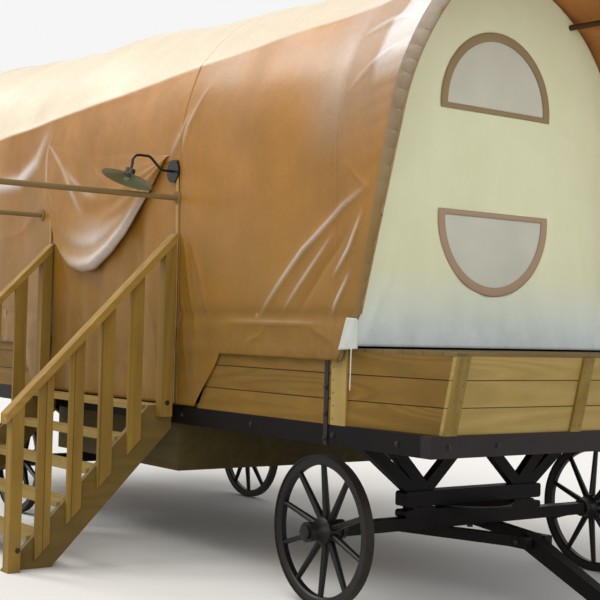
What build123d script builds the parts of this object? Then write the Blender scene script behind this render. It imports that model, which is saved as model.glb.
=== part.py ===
from build123d import *
from math import asin, atan, cos, degrees, hypot, radians, sin, tan
import os

os.makedirs("parts", exist_ok=True)

# Covered wagon with a box porch, an arched cloth cover over bows, side stairs and a turntable axle.
# Millimetres. Pieces are drawn with X forward from the front axle, Y from the centre plane and
# Z up from the ground. The near side, with the stairs, is at negative Y. keep() then brings every
# piece to the part's own origin, which is under the middle of the whole wagon.

near = -1
far = 1
forward = (1, 0, 0)

# Clearances
seat_gap = 0.3
running_gap = 0.5
swing_gap = 5.0

# Wheels, with spokes that lean outwards from the nave
wheel_radius = 420.0
wheel_stand_off = 57.0
wheelbase = 4050.0
spoke_count = 10
tyre_width = 58.0
tyre_thickness = 10.0
felloe_depth = 46.0
felloe_width = 50.0
felloe_ease = 9.0
dish = 30.0
nave_radius = 78.0
nave_end_radius = 56.0
nave_length = 250.0
nave_inboard = 140.0
nave_barrel = 68.0
nave_band_width = 28.0
nave_waist = 6.0
nave_cove = 7.0
cap_radius = 40.0
cap_length = 22.0
cap_dome = 6.0
cap_wall = 4.0
spoke_foot_width = 50.0
spoke_foot_thickness = 36.0
spoke_tip_width = 34.0
spoke_tip_thickness = 28.0
spindle_radius = 28.0

# Axles and the front turntable
axle_height = wheel_radius
axle_depth = 70.0
axle_width = 84.0
axle_bed_depth = 46.0
bolster_half = 560.0
bolster_width = 96.0
bolster_ease = 18.0
bearer_start = 330.0
bearer_end = 500.0
upper_bolster_depth = 88.0
turntable_radius = 250.0
turntable_plate = 8.0
turntable_gap = 3.0
king_pin_radius = 18.0
king_pin_tail = 20.0

# Drawbar and the hounds that carry it
hound_depth = 64.0
hound_width = 58.0
hound_tail_x = -330.0
hound_tail_half = 300.0
hound_nose = 62.0
drawbar_pin_x = 500.0
drawbar_pin_radius = 14.0
drawbar_width = 96.0
drawbar_depth = 90.0
drawbar_length = 788.0
drawbar_tip_width = 64.0
eye_radius = 50.0
eye_bore_radius = 25.0
eye_thickness = 30.0
eye_shank = 90.0

# Chassis
rail_top = 1005.0
rail_depth = 115.0
rail_width = 75.0
body_half = 1073.0
frame_front_x = 814.0
frame_rear_x = -6300.0
front_beam_width = 80.0
joist_width = 70.0
deck_thickness = 28.0

# Braces from the bolsters up to the joists: bottom and top, measured across from the centre plane
brace_width = 74.0
brace_depth = 56.0
# columns: foot, head
brace_rows = ((385.0, 85.0), (385.0, 660.0), (480.0, 850.0))

# Plank walls
plank_count = 3
plank_height = 144.0
plank_groove = 5.0
plank_groove_depth = 6.0
wall_thickness = 36.0
wall_front_x = 105.0
post_length = 130.0
door_front_x = -1660.0
door_rear_x = -3660.0
door_wall_top_inset = 490.0
door_wall_foot_inset = 220.0
strap_x = -62.0
strap_width = 36.0
strap_thickness = 7.0

# Box porch at the front, which leans out and narrows forward
porch_inset = 11.0
porch_taper = 77.0
porch_foot_x = 800.0
porch_lean = 96.0
porch_board = 26.0
porch_top_board = 20.0
batten_width = 84.0
batten_thickness = 18.0

# Cloth cover
cover_thickness = 8.0
hem_height = 1365.0
hem_stand_off = 19.0
cover_swell = 18.0
front_wall_x = 148.0
rear_wall_x = -6150.0
end_wall_lift = 12.0
end_wall_thickness = 8.0
front_spring = 2633.0
door_front_spring = 2710.0
door_rear_spring = 2775.0
rear_spring = 2950.0
bonnet_lap = 130.0
bonnet_lean = 19.0
bonnet_spring = 2725.0
bonnet_flare = 40.0
bonnet_rear_spring = 2965.0
bonnet_tip_height = 260.0
bonnet_tip_back = 88.0
door_cloth_top = 2295.0
door_cloth_lap = 40.0
door_skirt_lap = 15.0
door_cloth_thickness = 6.0
door_cut_depth = 400.0

# Windows in the end walls
window_half = 453.0
upper_window_foot = 2850.0
upper_window_rise = 496.0
lower_window_top = 2260.0
lower_window_drop = 502.0
binding_width = 58.0
binding_thickness = 5.0
binding_lap = 6.0
mesh_thickness = 3.0

# Bows, purlins and hoops under the cloth
bow_thickness = 24.0
bow_width = 50.0
purlin_radius = 18.0
purlin_angle = 36.8
purlin_bend = 20.0
purlin_splay = 8.7
hoop_width = 40.0
hoop_thickness = 20.0
hoop_clearance = 14.0
door_post_width = 120.0
door_post_depth = 64.0
rear_post_set_back = 80.0
hoop_set_back = 20.0

# Stairs, along the near side
rise_count = 5
stair_going = 199.0
tread_depth = 190.0
tread_thickness = 36.0
stringer_depth = 230.0
stringer_thickness = 44.0
stringer_nose = 30.0
stair_front_x = -1760.0
stair_rear_x = -3560.0
stair_stand_off = 12.0
newel_size = 80.0
rail_rise = 950.0
handrail_width = 92.0
handrail_thickness = 44.0
baluster_width = 98.0
baluster_thickness = 24.0
baluster_drop = 150.0

# Locker under the floor, behind the stairs
locker_front_x = -1740.0
locker_rear_x = -3560.0
locker_inset = 53.0
locker_foot = 565.0
locker_board = 18.0

# Awning rods and the cloth slung between them
awning_rod_radius = 19.0
awning_rod_z = 2385.0
awning_rod_reach = 1490.0
awning_rod_inset = 40.0
rear_rod_set_back = 130.0
awning_rod_hold = 50.0
awning_flange_radius = 44.0
awning_flange_thickness = 10.0
swag_thickness = 26.0
# columns: distance behind the door's front edge, height above the rods
swag_edge = (
    (200.0, 280.0),
    (424.0, 26.0),
    (694.0, -218.0),
    (1133.0, -456.0),
    (1320.0, -475.0),
    (1506.0, -449.0),
    (1776.0, -249.0),
    (1876.0, -89.0),
    (1940.0, 10.0),
    (2016.0, 116.0),
    (2040.0, 280.0),
)

# Lamp over the stairs, on a bent tube whose end leans outwards
lamp_x = -1745.0
lamp_z = 2565.0
lamp_plate_radius = 75.0
lamp_plate_thickness = 18.0
lamp_tube_radius = 9.0
# columns: distance out from the plate's face, height above the plate's middle
lamp_run = ((0.0, 0.0), (85.0, 0.0), (175.0, 84.0), (303.0, 84.0), (303.0, 18.0))
lamp_tail = 35.0
lamp_bend = 50.0
lamp_lean = 19.0
lamp_cap_radius = 34.0
lamp_cap_height = 34.0
lamp_shade_radius = 174.0
lamp_shade_height = 40.0
lamp_shade_wall = 4.0
lamp_bulb_radius = 24.0

# Worked out from the sizes above
frame_foot = rail_top - rail_depth
deck_top = rail_top + deck_thickness
wall_top = rail_top + plank_count * plank_height
track_half = body_half + wheel_stand_off
hem_half = body_half + hem_stand_off
arch_radius = hem_half + cover_swell
bonnet_radius = arch_radius + bonnet_flare
porch_rear_half = body_half - porch_inset
porch_front_half = porch_rear_half - porch_taper
locker_half = body_half - locker_inset
awning_rod_end = arch_radius + awning_rod_reach
cover_inner = arch_radius - cover_thickness
rear_corner_x = rear_wall_x - end_wall_thickness
bow_outer = cover_inner - seat_gap
bow_inner = bow_outer - bow_thickness
axle_top = axle_height + axle_depth / 2
axle_foot = axle_height - axle_depth / 2
lower_bolster_top = axle_top + axle_bed_depth
plate_top = lower_bolster_top + turntable_plate
upper_plate_foot = plate_top + turntable_gap
upper_bolster_foot = upper_plate_foot + turntable_plate
upper_bolster_top = upper_bolster_foot + upper_bolster_depth
drawbar_pin_z = axle_foot - hound_depth / 2
eye_reach = drawbar_length + eye_radius
eye_half = eye_thickness / 2
drawbar_slope = degrees(asin(drawbar_pin_z / hypot(eye_reach, eye_half)) - atan(eye_half / eye_reach))
hub_outer = track_half - nave_inboard + nave_length + cap_length


def cover_reach(lean, spring, radius):
    """How far a leaning hoop's top stands out from its foot, with the cloth on it."""
    return (spring + radius - hem_height) * tan(radians(lean))


slope = radians(drawbar_slope)
front_reach = drawbar_pin_x + eye_reach * cos(slope) + eye_half * sin(slope)
rear_reach = rear_corner_x - cover_reach(bonnet_lean, bonnet_rear_spring, bonnet_radius)
origin_x = (front_reach + rear_reach) / 2
origin_y = (hub_outer - awning_rod_end) / 2


def keep(piece, name, place=Location()):
    """Label a finished piece, bring it to the part's origin and write its file."""
    finished = piece.moved(Location((-origin_x, -origin_y, 0)) * place)
    finished.label = name
    export_step(finished, f"parts/{name}.step")


# Wheel pieces, drawn at the near front wheel's place
wheel_plane = Plane(origin=(0, 0, axle_height), x_dir=(0, near, 0), z_dir=(near, 0, 0))
wheel_axis = Axis((0, 0, axle_height), (0, near, 0))
felloe_outer = wheel_radius - tyre_thickness - seat_gap
felloe_inner = felloe_outer - felloe_depth
nave_start = track_half - nave_inboard
nave_end = nave_start + nave_length
spoke_foot_out = track_half - dish
barrel_start_out = spoke_foot_out - nave_barrel / 2
barrel_end_out = spoke_foot_out + nave_barrel / 2
nave_waist_radius = nave_end_radius - nave_waist

with BuildPart() as nave:
    with BuildSketch(wheel_plane):
        with BuildLine():
            Polyline(
                (nave_start + nave_band_width, nave_waist_radius),
                (nave_start + nave_band_width, nave_end_radius),
                (nave_start, nave_end_radius),
                (nave_start, spindle_radius + running_gap),
                (nave_end + cap_wall, spindle_radius + running_gap),
                (nave_end + cap_wall, 0),
                (nave_end + cap_length, 0),
            )
            ThreePointArc(
                (nave_end + cap_length, 0),
                (nave_end + cap_length - cap_dome / 4, cap_radius / 2),
                (nave_end + cap_length - cap_dome, cap_radius),
            )
            Polyline(
                (nave_end + cap_length - cap_dome, cap_radius),
                (nave_end, cap_radius),
                (nave_end, nave_end_radius),
                (nave_end - nave_band_width, nave_end_radius),
                (nave_end - nave_band_width, nave_waist_radius),
            )
            SagittaArc(
                (nave_end - nave_band_width, nave_waist_radius),
                (barrel_end_out, nave_radius),
                nave_cove,
            )
            Line((barrel_end_out, nave_radius), (barrel_start_out, nave_radius))
            SagittaArc(
                (barrel_start_out, nave_radius),
                (nave_start + nave_band_width, nave_waist_radius),
                nave_cove,
            )
        make_face()
    revolve(axis=wheel_axis)

with BuildPart() as spoked_rim:
    with BuildSketch(wheel_plane):
        with BuildLine():
            Polyline(
                (track_half - felloe_width / 2, felloe_outer),
                (track_half + felloe_width / 2, felloe_outer),
                (track_half + felloe_width / 2, felloe_inner + felloe_ease),
                (track_half + felloe_width / 2 - felloe_ease, felloe_inner),
                (track_half - felloe_width / 2 + felloe_ease, felloe_inner),
                (track_half - felloe_width / 2, felloe_inner + felloe_ease),
                close=True,
            )
        make_face()
    revolve(axis=wheel_axis)
    for index in range(spoke_count):
        turn = radians(360 / spoke_count * (index + 0.5))
        foot_r = nave_radius + seat_gap
        tip_r = felloe_inner + felloe_depth / 4
        foot = Vector(foot_r * cos(turn), near * spoke_foot_out, axle_height + foot_r * sin(turn))
        tip = Vector(tip_r * cos(turn), near * track_half, axle_height + tip_r * sin(turn))
        along = (tip - foot).normalized()
        with BuildSketch(Plane(origin=foot, x_dir=(0, 1, 0), z_dir=along)):
            Ellipse(spoke_foot_width / 2, spoke_foot_thickness / 2)
        with BuildSketch(Plane(origin=tip, x_dir=(0, 1, 0), z_dir=along)):
            Ellipse(spoke_tip_width / 2, spoke_tip_thickness / 2)
        loft()
    with BuildSketch(Plane.XZ):
        with Locations((0, axle_height)):
            Circle(nave_radius + seat_gap)
    extrude(amount=nave_end, mode=Mode.SUBTRACT)

with BuildPart() as tyre:
    with BuildSketch(wheel_plane):
        with Locations((track_half, wheel_radius - tyre_thickness / 2)):
            Rectangle(tyre_width, tyre_thickness)
    revolve(axis=wheel_axis)

# columns: name, distance behind the front axle, half turn about the upright axis
wheel_rows = (
    ("front_near", 0.0, 0.0),
    ("front_far", 0.0, 180.0),
    ("rear_near", wheelbase, 0.0),
    ("rear_far", wheelbase, 180.0),
)
for name, behind, half_turn in wheel_rows:
    place = Location((-behind, 0, 0), (0, 0, half_turn))
    keep(nave.part, f"hub_{name}", place)
    keep(spoked_rim.part, f"wheel_{name}", place)
    keep(tyre.part, f"tyre_{name}", place)


def axle_blank(x, bored):
    """A square axle beam with round spindles, bored for the king pin where it steers."""
    beam_half = nave_start - swing_gap
    with BuildPart() as axle:
        with BuildSketch(Plane.XY.offset(axle_foot)):
            with Locations((x, 0)):
                Rectangle(axle_width, 2 * beam_half)
        extrude(amount=axle_depth)
        with BuildSketch(Plane.XZ.offset(-nave_end)):
            with Locations((x, axle_height)):
                Circle(spindle_radius)
        extrude(amount=2 * nave_end)
        if bored:
            with BuildSketch(Plane.XY.offset(axle_foot)):
                with Locations((x, 0)):
                    Circle(king_pin_radius + running_gap)
            extrude(amount=axle_depth, mode=Mode.SUBTRACT)
    return axle.part


keep(axle_blank(0, True), "axle_front")
keep(axle_blank(-wheelbase, False), "axle_rear")

with BuildPart() as lower_bolster:
    with BuildSketch(Plane.YZ.offset(-bolster_width / 2)):
        with Locations((0, (axle_top + lower_bolster_top) / 2)):
            RectangleRounded(2 * bolster_half, axle_bed_depth, bolster_ease)
    extrude(amount=bolster_width)
    with BuildSketch(Plane.XY.offset(lower_bolster_top)):
        Circle(turntable_radius)
    extrude(amount=turntable_plate)
    with BuildSketch(Plane.XY.offset(lower_bolster_top)):
        for side in (near, far):
            with Locations((0, side * (bearer_start + bearer_end) / 2)):
                Rectangle(bolster_width, bearer_end - bearer_start)
    extrude(amount=upper_bolster_foot - lower_bolster_top - swing_gap)
    with BuildSketch(Plane.XY.offset(axle_top)):
        Circle(king_pin_radius + running_gap)
    extrude(amount=axle_bed_depth + turntable_plate, mode=Mode.SUBTRACT)
keep(lower_bolster.part, "lower_bolster")

with BuildPart() as king_pin:
    with BuildSketch(Plane.XY.offset(axle_foot - king_pin_tail)):
        Circle(king_pin_radius)
    extrude(amount=upper_plate_foot - axle_foot + king_pin_tail)
    with BuildSketch(Plane.XY.offset(upper_plate_foot)):
        Circle(turntable_radius)
    extrude(amount=turntable_plate)
keep(king_pin.part, "turntable_upper")


# columns: place along the wagon, underside
bolster_rows = ((0.0, upper_bolster_foot), (-wheelbase, axle_top))
with BuildPart() as bolsters:
    for x, foot in bolster_rows:
        with BuildSketch(Plane.YZ.offset(x - bolster_width / 2)):
            with Locations((0, (foot + upper_bolster_top) / 2)):
                RectangleRounded(2 * bolster_half, upper_bolster_top - foot, bolster_ease)
        extrude(amount=bolster_width)
keep(bolsters.part, "bolsters")

with BuildPart() as trestles:
    for x, _ in bolster_rows:
        with BuildSketch(Plane.YZ.offset(x - brace_depth / 2)):
            for side in (near, far):
                for foot, head in brace_rows:
                    lean = atan((head - foot) / (frame_foot - upper_bolster_top))
                    half = brace_width / 2 / cos(lean)
                    with BuildLine():
                        Polyline(
                            (side * (foot - half), upper_bolster_top),
                            (side * (foot + half), upper_bolster_top),
                            (side * (head + half), frame_foot),
                            (side * (head - half), frame_foot),
                            close=True,
                        )
                    make_face()
        extrude(amount=brace_depth)
keep(trestles.part, "braces")

hound_foot = axle_foot - hound_depth
hound_nose_x = drawbar_pin_x + hound_nose
hound_nose_half = drawbar_width / 2 + swing_gap
with BuildPart() as hounds:
    for side in (near, far):
        with BuildSketch(Plane.XY.offset(hound_foot)):
            with BuildLine():
                Polyline(
                    (hound_nose_x, side * hound_nose_half),
                    (drawbar_pin_x - hound_nose, side * hound_nose_half),
                    (hound_tail_x, side * hound_tail_half),
                    (hound_tail_x, side * (hound_tail_half + hound_width)),
                    (drawbar_pin_x - hound_nose, side * (hound_nose_half + hound_width)),
                    (hound_nose_x, side * (hound_nose_half + hound_width)),
                    close=True,
                )
            make_face()
        extrude(amount=hound_depth)
    with BuildSketch(Plane.XZ.offset(-hound_nose_half - hound_width)):
        with Locations((drawbar_pin_x, drawbar_pin_z)):
            Circle(drawbar_pin_radius + seat_gap)
    extrude(amount=2 * (hound_nose_half + hound_width), mode=Mode.SUBTRACT)
    with BuildSketch(Plane.XY.offset(hound_foot)):
        with Locations((hound_tail_x + hound_width / 2, 0)):
            Rectangle(hound_width, 2 * hound_tail_half)
    extrude(amount=hound_depth)
keep(hounds.part, "hounds")

with BuildPart() as drawbar_pin:
    with BuildSketch(Plane.XZ.offset(-hound_nose_half - hound_width - drawbar_pin_radius)):
        with Locations((drawbar_pin_x, drawbar_pin_z)):
            Circle(drawbar_pin_radius)
    extrude(amount=2 * (hound_nose_half + hound_width + drawbar_pin_radius))
keep(drawbar_pin.part, "drawbar_pin")

drawbar_plane = Plane(
    origin=(drawbar_pin_x, 0, drawbar_pin_z),
    x_dir=(cos(slope), 0, -sin(slope)),
    z_dir=(sin(slope), 0, cos(slope)),
)
timber_end = drawbar_length - eye_radius - eye_shank / 2
with BuildPart() as drawbar:
    with BuildSketch(drawbar_plane.offset(-drawbar_depth / 2)):
        with BuildLine():
            Polyline(
                (0, -drawbar_width / 2),
                (timber_end, -drawbar_tip_width / 2),
                (timber_end, drawbar_tip_width / 2),
                (0, drawbar_width / 2),
                close=True,
            )
        make_face()
    extrude(amount=drawbar_depth)
    with BuildSketch(Plane.XZ.offset(-drawbar_width / 2)):
        with Locations((drawbar_pin_x, drawbar_pin_z)):
            Circle(drawbar_depth / 2)
    extrude(amount=drawbar_width)
    with BuildSketch(Plane.XZ.offset(-drawbar_width / 2)):
        with Locations((drawbar_pin_x, drawbar_pin_z)):
            Circle(drawbar_pin_radius + running_gap)
    extrude(amount=drawbar_width, mode=Mode.SUBTRACT)
    with BuildSketch(drawbar_plane.offset(-eye_thickness / 2)):
        with Locations((drawbar_length, 0)):
            Circle(eye_radius)
        with Locations((timber_end, 0)):
            Rectangle(eye_shank + eye_radius, eye_radius)
    extrude(amount=eye_thickness)
    with BuildSketch(drawbar_plane.offset(-eye_thickness)):
        with Locations((drawbar_length, 0)):
            Circle(eye_bore_radius)
    extrude(amount=2 * eye_thickness, mode=Mode.SUBTRACT)
keep(drawbar.part, "drawbar")

# Chassis
rail_front_x = frame_front_x - front_beam_width
with BuildPart() as rails:
    with BuildSketch(Plane.XY.offset(frame_foot)):
        for side in (near, far):
            with Locations(((rail_front_x + frame_rear_x) / 2, side * (body_half - rail_width / 2))):
                Rectangle(rail_front_x - frame_rear_x, rail_width)
    extrude(amount=rail_depth)
keep(rails.part, "chassis_rails")

joist_half = body_half - rail_width
joist_xs = [0.0, -wheelbase, frame_rear_x + joist_width / 2]
joist_xs += [-wheelbase / 5 * step for step in range(1, 5)]
joist_xs += [-wheelbase + (frame_rear_x + wheelbase) / 3 * step for step in (1, 2)]
with BuildPart() as joists:
    with BuildSketch(Plane.XY.offset(frame_foot)):
        with Locations(*[(x, 0) for x in joist_xs]):
            Rectangle(joist_width, 2 * joist_half)
        with Locations((frame_front_x - front_beam_width / 2, 0)):
            Rectangle(front_beam_width, 2 * body_half)
    extrude(amount=rail_depth)
keep(joists.part, "cross_beams")

deck_half = body_half - wall_thickness
with BuildPart() as deck:
    with BuildSketch(Plane.XY.offset(rail_top)):
        with Locations(((wall_front_x + rear_corner_x) / 2, 0)):
            Rectangle(wall_front_x - rear_corner_x, 2 * deck_half)
    extrude(amount=deck_thickness)
keep(deck.part, "floor_deck")


def plank_wall(side, foot_front, foot_rear, top_front, top_rear):
    """A wall of level planks with an eased joint between them, along one side."""
    outer = side * body_half
    with BuildPart() as wall:
        plane = Plane(origin=(0, outer, 0), x_dir=(1, 0, 0), z_dir=(0, -1, 0))
        inward = wall_thickness if side == far else -wall_thickness
        with BuildSketch(plane):
            with BuildLine():
                Polyline(
                    (foot_front, rail_top),
                    (foot_rear, rail_top),
                    (top_rear, wall_top),
                    (top_front, wall_top),
                    close=True,
                )
            make_face()
        extrude(amount=inward)
        for joint in range(1, plank_count):
            with BuildSketch(plane):
                with Locations(((foot_front + foot_rear) / 2, rail_top + joint * plank_height)):
                    Rectangle(foot_front - foot_rear + plank_height, plank_groove)
            extrude(amount=inward * plank_groove_depth / wall_thickness, mode=Mode.SUBTRACT)
    return wall.part


wall_lap_x = wall_front_x - post_length
door_top_front = door_front_x + door_wall_top_inset
door_foot_front = door_front_x + door_wall_foot_inset
door_top_rear = door_rear_x - door_wall_top_inset
door_foot_rear = door_rear_x - door_wall_foot_inset
rear_lap_x = rear_corner_x + post_length
with BuildPart() as near_walls:
    add(plank_wall(near, wall_lap_x, door_foot_front, wall_lap_x, door_top_front))
    add(plank_wall(near, door_foot_rear, rear_lap_x, door_top_rear, rear_lap_x))
keep(near_walls.part, "side_wall_near")
keep(plank_wall(far, wall_lap_x, rear_lap_x, wall_lap_x, rear_lap_x), "side_wall_far")

with BuildPart() as corner_posts:
    with BuildSketch(Plane.XY.offset(rail_top)):
        for side in (near, far):
            for x in (wall_front_x - post_length / 2, rear_corner_x + post_length / 2):
                with Locations((x, side * (body_half - wall_thickness / 2))):
                    Rectangle(post_length, wall_thickness)
    extrude(amount=wall_top - rail_top)
keep(corner_posts.part, "corner_posts")

end_plank_half = body_half - wall_thickness
with BuildPart() as end_planks:
    for face_x in (wall_front_x, rear_corner_x + wall_thickness):
        with BuildSketch(Plane.XY.offset(deck_top)):
            with Locations((face_x - wall_thickness / 2, 0)):
                Rectangle(wall_thickness, 2 * end_plank_half)
        extrude(amount=wall_top - deck_top)
keep(end_planks.part, "end_planks")

with BuildPart() as straps:
    for side in (near, far):
        start = body_half + seat_gap if side == near else -body_half - seat_gap - strap_thickness
        with BuildSketch(Plane.XZ.offset(start)):
            with Locations((strap_x, (frame_foot + wall_top) / 2)):
                Rectangle(strap_width, wall_top - frame_foot)
        extrude(amount=strap_thickness)
keep(straps.part, "side_straps")

# Box porch, with the same eased joints between its planks
porch_top = wall_top - porch_top_board
joint_heights = [rail_top + joint * plank_height for joint in range(1, plank_count)]


def porch_face_x(z):
    """Place along the wagon of the porch's front face, at a height."""
    return porch_foot_x + porch_lean * (z - rail_top) / (porch_top - rail_top)


with BuildPart() as porch_sides:
    for side in (near, far):
        with BuildSketch(Plane.XY.offset(rail_top)):
            with BuildLine():
                Polyline(
                    (wall_front_x + seat_gap, side * porch_rear_half),
                    (porch_foot_x - porch_board, side * porch_front_half),
                    (porch_foot_x - porch_board, side * (porch_front_half - porch_board)),
                    (wall_front_x + seat_gap, side * (porch_rear_half - porch_board)),
                    close=True,
                )
            make_face()
        with BuildSketch(Plane.XY.offset(porch_top)):
            with BuildLine():
                Polyline(
                    (wall_front_x + seat_gap, side * porch_rear_half),
                    (porch_foot_x + porch_lean - porch_board, side * porch_front_half),
                    (porch_foot_x + porch_lean - porch_board, side * (porch_front_half - porch_board)),
                    (wall_front_x + seat_gap, side * (porch_rear_half - porch_board)),
                    close=True,
                )
            make_face()
        loft(ruled=True)
    for z in joint_heights:
        side_front_x = porch_face_x(z) - porch_board
        with BuildSketch(Plane.XY.offset(z - plank_groove / 2)):
            for side in (near, far):
                with BuildLine():
                    Polyline(
                        (wall_front_x, side * (porch_rear_half + plank_groove_depth)),
                        (side_front_x + swing_gap, side * (porch_front_half + plank_groove_depth)),
                        (side_front_x + swing_gap, side * (porch_front_half - plank_groove_depth)),
                        (wall_front_x, side * (porch_rear_half - plank_groove_depth)),
                        close=True,
                    )
                make_face()
        extrude(amount=plank_groove, mode=Mode.SUBTRACT)
keep(porch_sides.part, "porch_sides")

with BuildPart() as porch_front:
    with BuildSketch(Plane.XZ.offset(-porch_front_half)):
        with BuildLine():
            Polyline(
                (porch_foot_x - porch_board, rail_top),
                (porch_foot_x, rail_top),
                (porch_foot_x + porch_lean, porch_top),
                (porch_foot_x + porch_lean - porch_board, porch_top),
                close=True,
            )
        make_face()
    extrude(amount=2 * porch_front_half)
    with BuildSketch(Plane.XZ.offset(-porch_front_half)):
        with Locations(*[(porch_face_x(z), z) for z in joint_heights]):
            Rectangle(2 * plank_groove_depth, plank_groove)
    extrude(amount=2 * porch_front_half, mode=Mode.SUBTRACT)
keep(porch_front.part, "porch_front")

with BuildPart() as porch_lid:
    with BuildSketch(Plane.XY.offset(porch_top)):
        with BuildLine():
            Polyline(
                (wall_front_x + seat_gap, porch_rear_half),
                (porch_foot_x + porch_lean, porch_front_half),
                (porch_foot_x + porch_lean, -porch_front_half),
                (wall_front_x + seat_gap, -porch_rear_half),
                close=True,
            )
        make_face()
    extrude(amount=porch_top_board)
keep(porch_lid.part, "porch_top")

batten_reach = porch_front_half - batten_width / 2
with BuildPart() as porch_battens:
    for centre in (-batten_reach, 0, batten_reach):
        with BuildSketch(Plane.XZ.offset(centre - batten_width / 2)):
            with BuildLine():
                Polyline(
                    (porch_foot_x + seat_gap, rail_top),
                    (porch_foot_x + seat_gap + batten_thickness, rail_top),
                    (porch_foot_x + porch_lean + seat_gap + batten_thickness, porch_top),
                    (porch_foot_x + porch_lean + seat_gap, porch_top),
                    close=True,
                )
            make_face()
        extrude(amount=batten_width)
keep(porch_battens.part, "porch_battens")

# Locker under the floor
with BuildPart() as locker:
    with BuildSketch(Plane.XY.offset(locker_foot)):
        with Locations(((locker_front_x + locker_rear_x) / 2, 0)):
            Rectangle(locker_front_x - locker_rear_x, 2 * locker_half)
    extrude(amount=frame_foot - locker_foot)
    with BuildSketch(Plane.XY.offset(locker_foot + locker_board)):
        with Locations(((locker_front_x + locker_rear_x) / 2, 0)):
            Rectangle(locker_front_x - locker_rear_x - 2 * locker_board, 2 * (locker_half - locker_board))
    extrude(amount=frame_foot - locker_foot, mode=Mode.SUBTRACT)
keep(locker.part, "floor_locker")

# Cloth cover: each section is an arch on a plane that may lean, from the hem to the ridge
# columns: place at the hem, lean forward in degrees, height of the spring line, radius
cover_sections = {
    "front_hoop": (front_wall_x, bonnet_lean, bonnet_spring, bonnet_radius),
    "front_seam": (front_wall_x - bonnet_lap, 0.0, front_spring, arch_radius),
    "door_front": (door_front_x, 0.0, door_front_spring, arch_radius),
    "door_rear": (door_rear_x, 0.0, door_rear_spring, arch_radius),
    "rear_seam": (rear_wall_x + bonnet_lap, 0.0, rear_spring, arch_radius),
    "rear_hoop": (rear_corner_x, -bonnet_lean, bonnet_rear_spring, bonnet_radius),
}


def section_plane(x, lean):
    """Plane across the wagon at a hem place, leaning forward, with its zero at the hem."""
    turn = radians(lean)
    return Plane(origin=(x, 0, hem_height), x_dir=(0, 1, 0), z_dir=(cos(turn), 0, -sin(turn)))


def spring_at(x):
    """Height of the spring line at a place along the wagon, straight between the seams."""
    stations = [cover_sections[name] for name in ("front_seam", "door_front", "door_rear", "rear_seam")]
    held_x = max(min(x, stations[0][0]), stations[-1][0])
    for (x_a, _, spring_a, _), (x_b, _, spring_b, _) in zip(stations, stations[1:]):
        if held_x >= x_b:
            return spring_a + (spring_b - spring_a) * (held_x - x_a) / (x_b - x_a)


def arch_sketch(x, lean, spring, radius, inset, foot):
    """A closed arch, set in from the cloth's outside, whose legs stop at a height."""
    rise = 1 / cos(radians(lean))
    leg = (spring - hem_height) * rise
    foot_leg = (foot - hem_height) * rise
    crown = leg + radius * rise - inset
    side = radius - inset
    foot_side = side - (radius - hem_half) * (spring - foot) / (spring - hem_height)
    haunch = sin(radians(45))
    with BuildSketch(section_plane(x, lean)) as arch:
        with BuildLine():
            Polyline((-side, leg), (-foot_side, foot_leg), (foot_side, foot_leg), (side, leg))
            ThreePointArc((side, leg), (side * haunch, leg + (crown - leg) * haunch), (0, crown))
            ThreePointArc((0, crown), (-side * haunch, leg + (crown - leg) * haunch), (-side, leg))
        make_face()
    return arch.sketch


def cover_bay(front, rear):
    """One bay of the cover: the cloth between two sections, open below."""
    with BuildPart() as bay:
        for section in (front, rear):
            add(arch_sketch(*cover_sections[section], 0, hem_height))
        loft(ruled=True)
        for section in (front, rear):
            add(arch_sketch(*cover_sections[section], cover_thickness, hem_height - cover_thickness))
        loft(ruled=True, mode=Mode.SUBTRACT)
    return bay.part


# Door side: posts under the cloth carry the awning rods and the lamp
door_cloth_outer = hem_half - cover_thickness - seat_gap
door_post_outer = door_cloth_outer - door_cloth_thickness - seat_gap
door_post_xs = (door_front_x - door_post_width / 2, door_rear_x - rear_post_set_back - door_post_width / 2)
awning_rod_xs = (door_front_x - awning_rod_inset, door_rear_x - rear_rod_set_back)
door_post_top = lamp_z + lamp_plate_radius


def rod_hole(x, z, radius):
    """A plug on the near side that cuts a rod's hole through the cloth."""
    with BuildPart() as plug:
        with BuildSketch(Plane.XZ.offset(hem_half - door_cut_depth)):
            with Locations((x, z)):
                Circle(radius + seat_gap)
        extrude(amount=2 * door_cut_depth)
    return plug.part


# The bonnets' lower corners are cut back, from the free edge to the hem
tip_top = hem_height + bonnet_tip_height
# columns: name, front section, rear section, free edge, outward direction
bonnet_rows = (
    ("bonnet_front", "front_hoop", "front_seam", "front_hoop", 1),
    ("bonnet_rear", "rear_seam", "rear_hoop", "rear_hoop", -1),
)
for name, front, rear, edge, outward in bonnet_rows:
    edge_x = cover_sections[edge][0]
    edge_run = outward * bonnet_tip_height * tan(radians(bonnet_lean))
    with BuildPart() as bonnet:
        add(cover_bay(front, rear))
        with BuildSketch(Plane.XZ.offset(-bonnet_radius)):
            with BuildLine():
                Polyline(
                    (edge_x + edge_run, tip_top),
                    (edge_x - outward * bonnet_tip_back, hem_height),
                    (edge_x - outward * bonnet_tip_back, hem_height - bonnet_tip_height),
                    (edge_x + 2 * edge_run, hem_height - bonnet_tip_height),
                    (edge_x + 2 * edge_run, tip_top),
                    close=True,
                )
            make_face()
        extrude(amount=2 * bonnet_radius, mode=Mode.SUBTRACT)
    keep(bonnet.part, name)

keep(cover_bay("front_seam", "door_front"), "cover_front")

with BuildPart() as cover_rear:
    add(cover_bay("door_rear", "rear_seam"))
    add(rod_hole(awning_rod_xs[1], awning_rod_z, awning_rod_radius), mode=Mode.SUBTRACT)
keep(cover_rear.part, "cover_rear")

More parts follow.
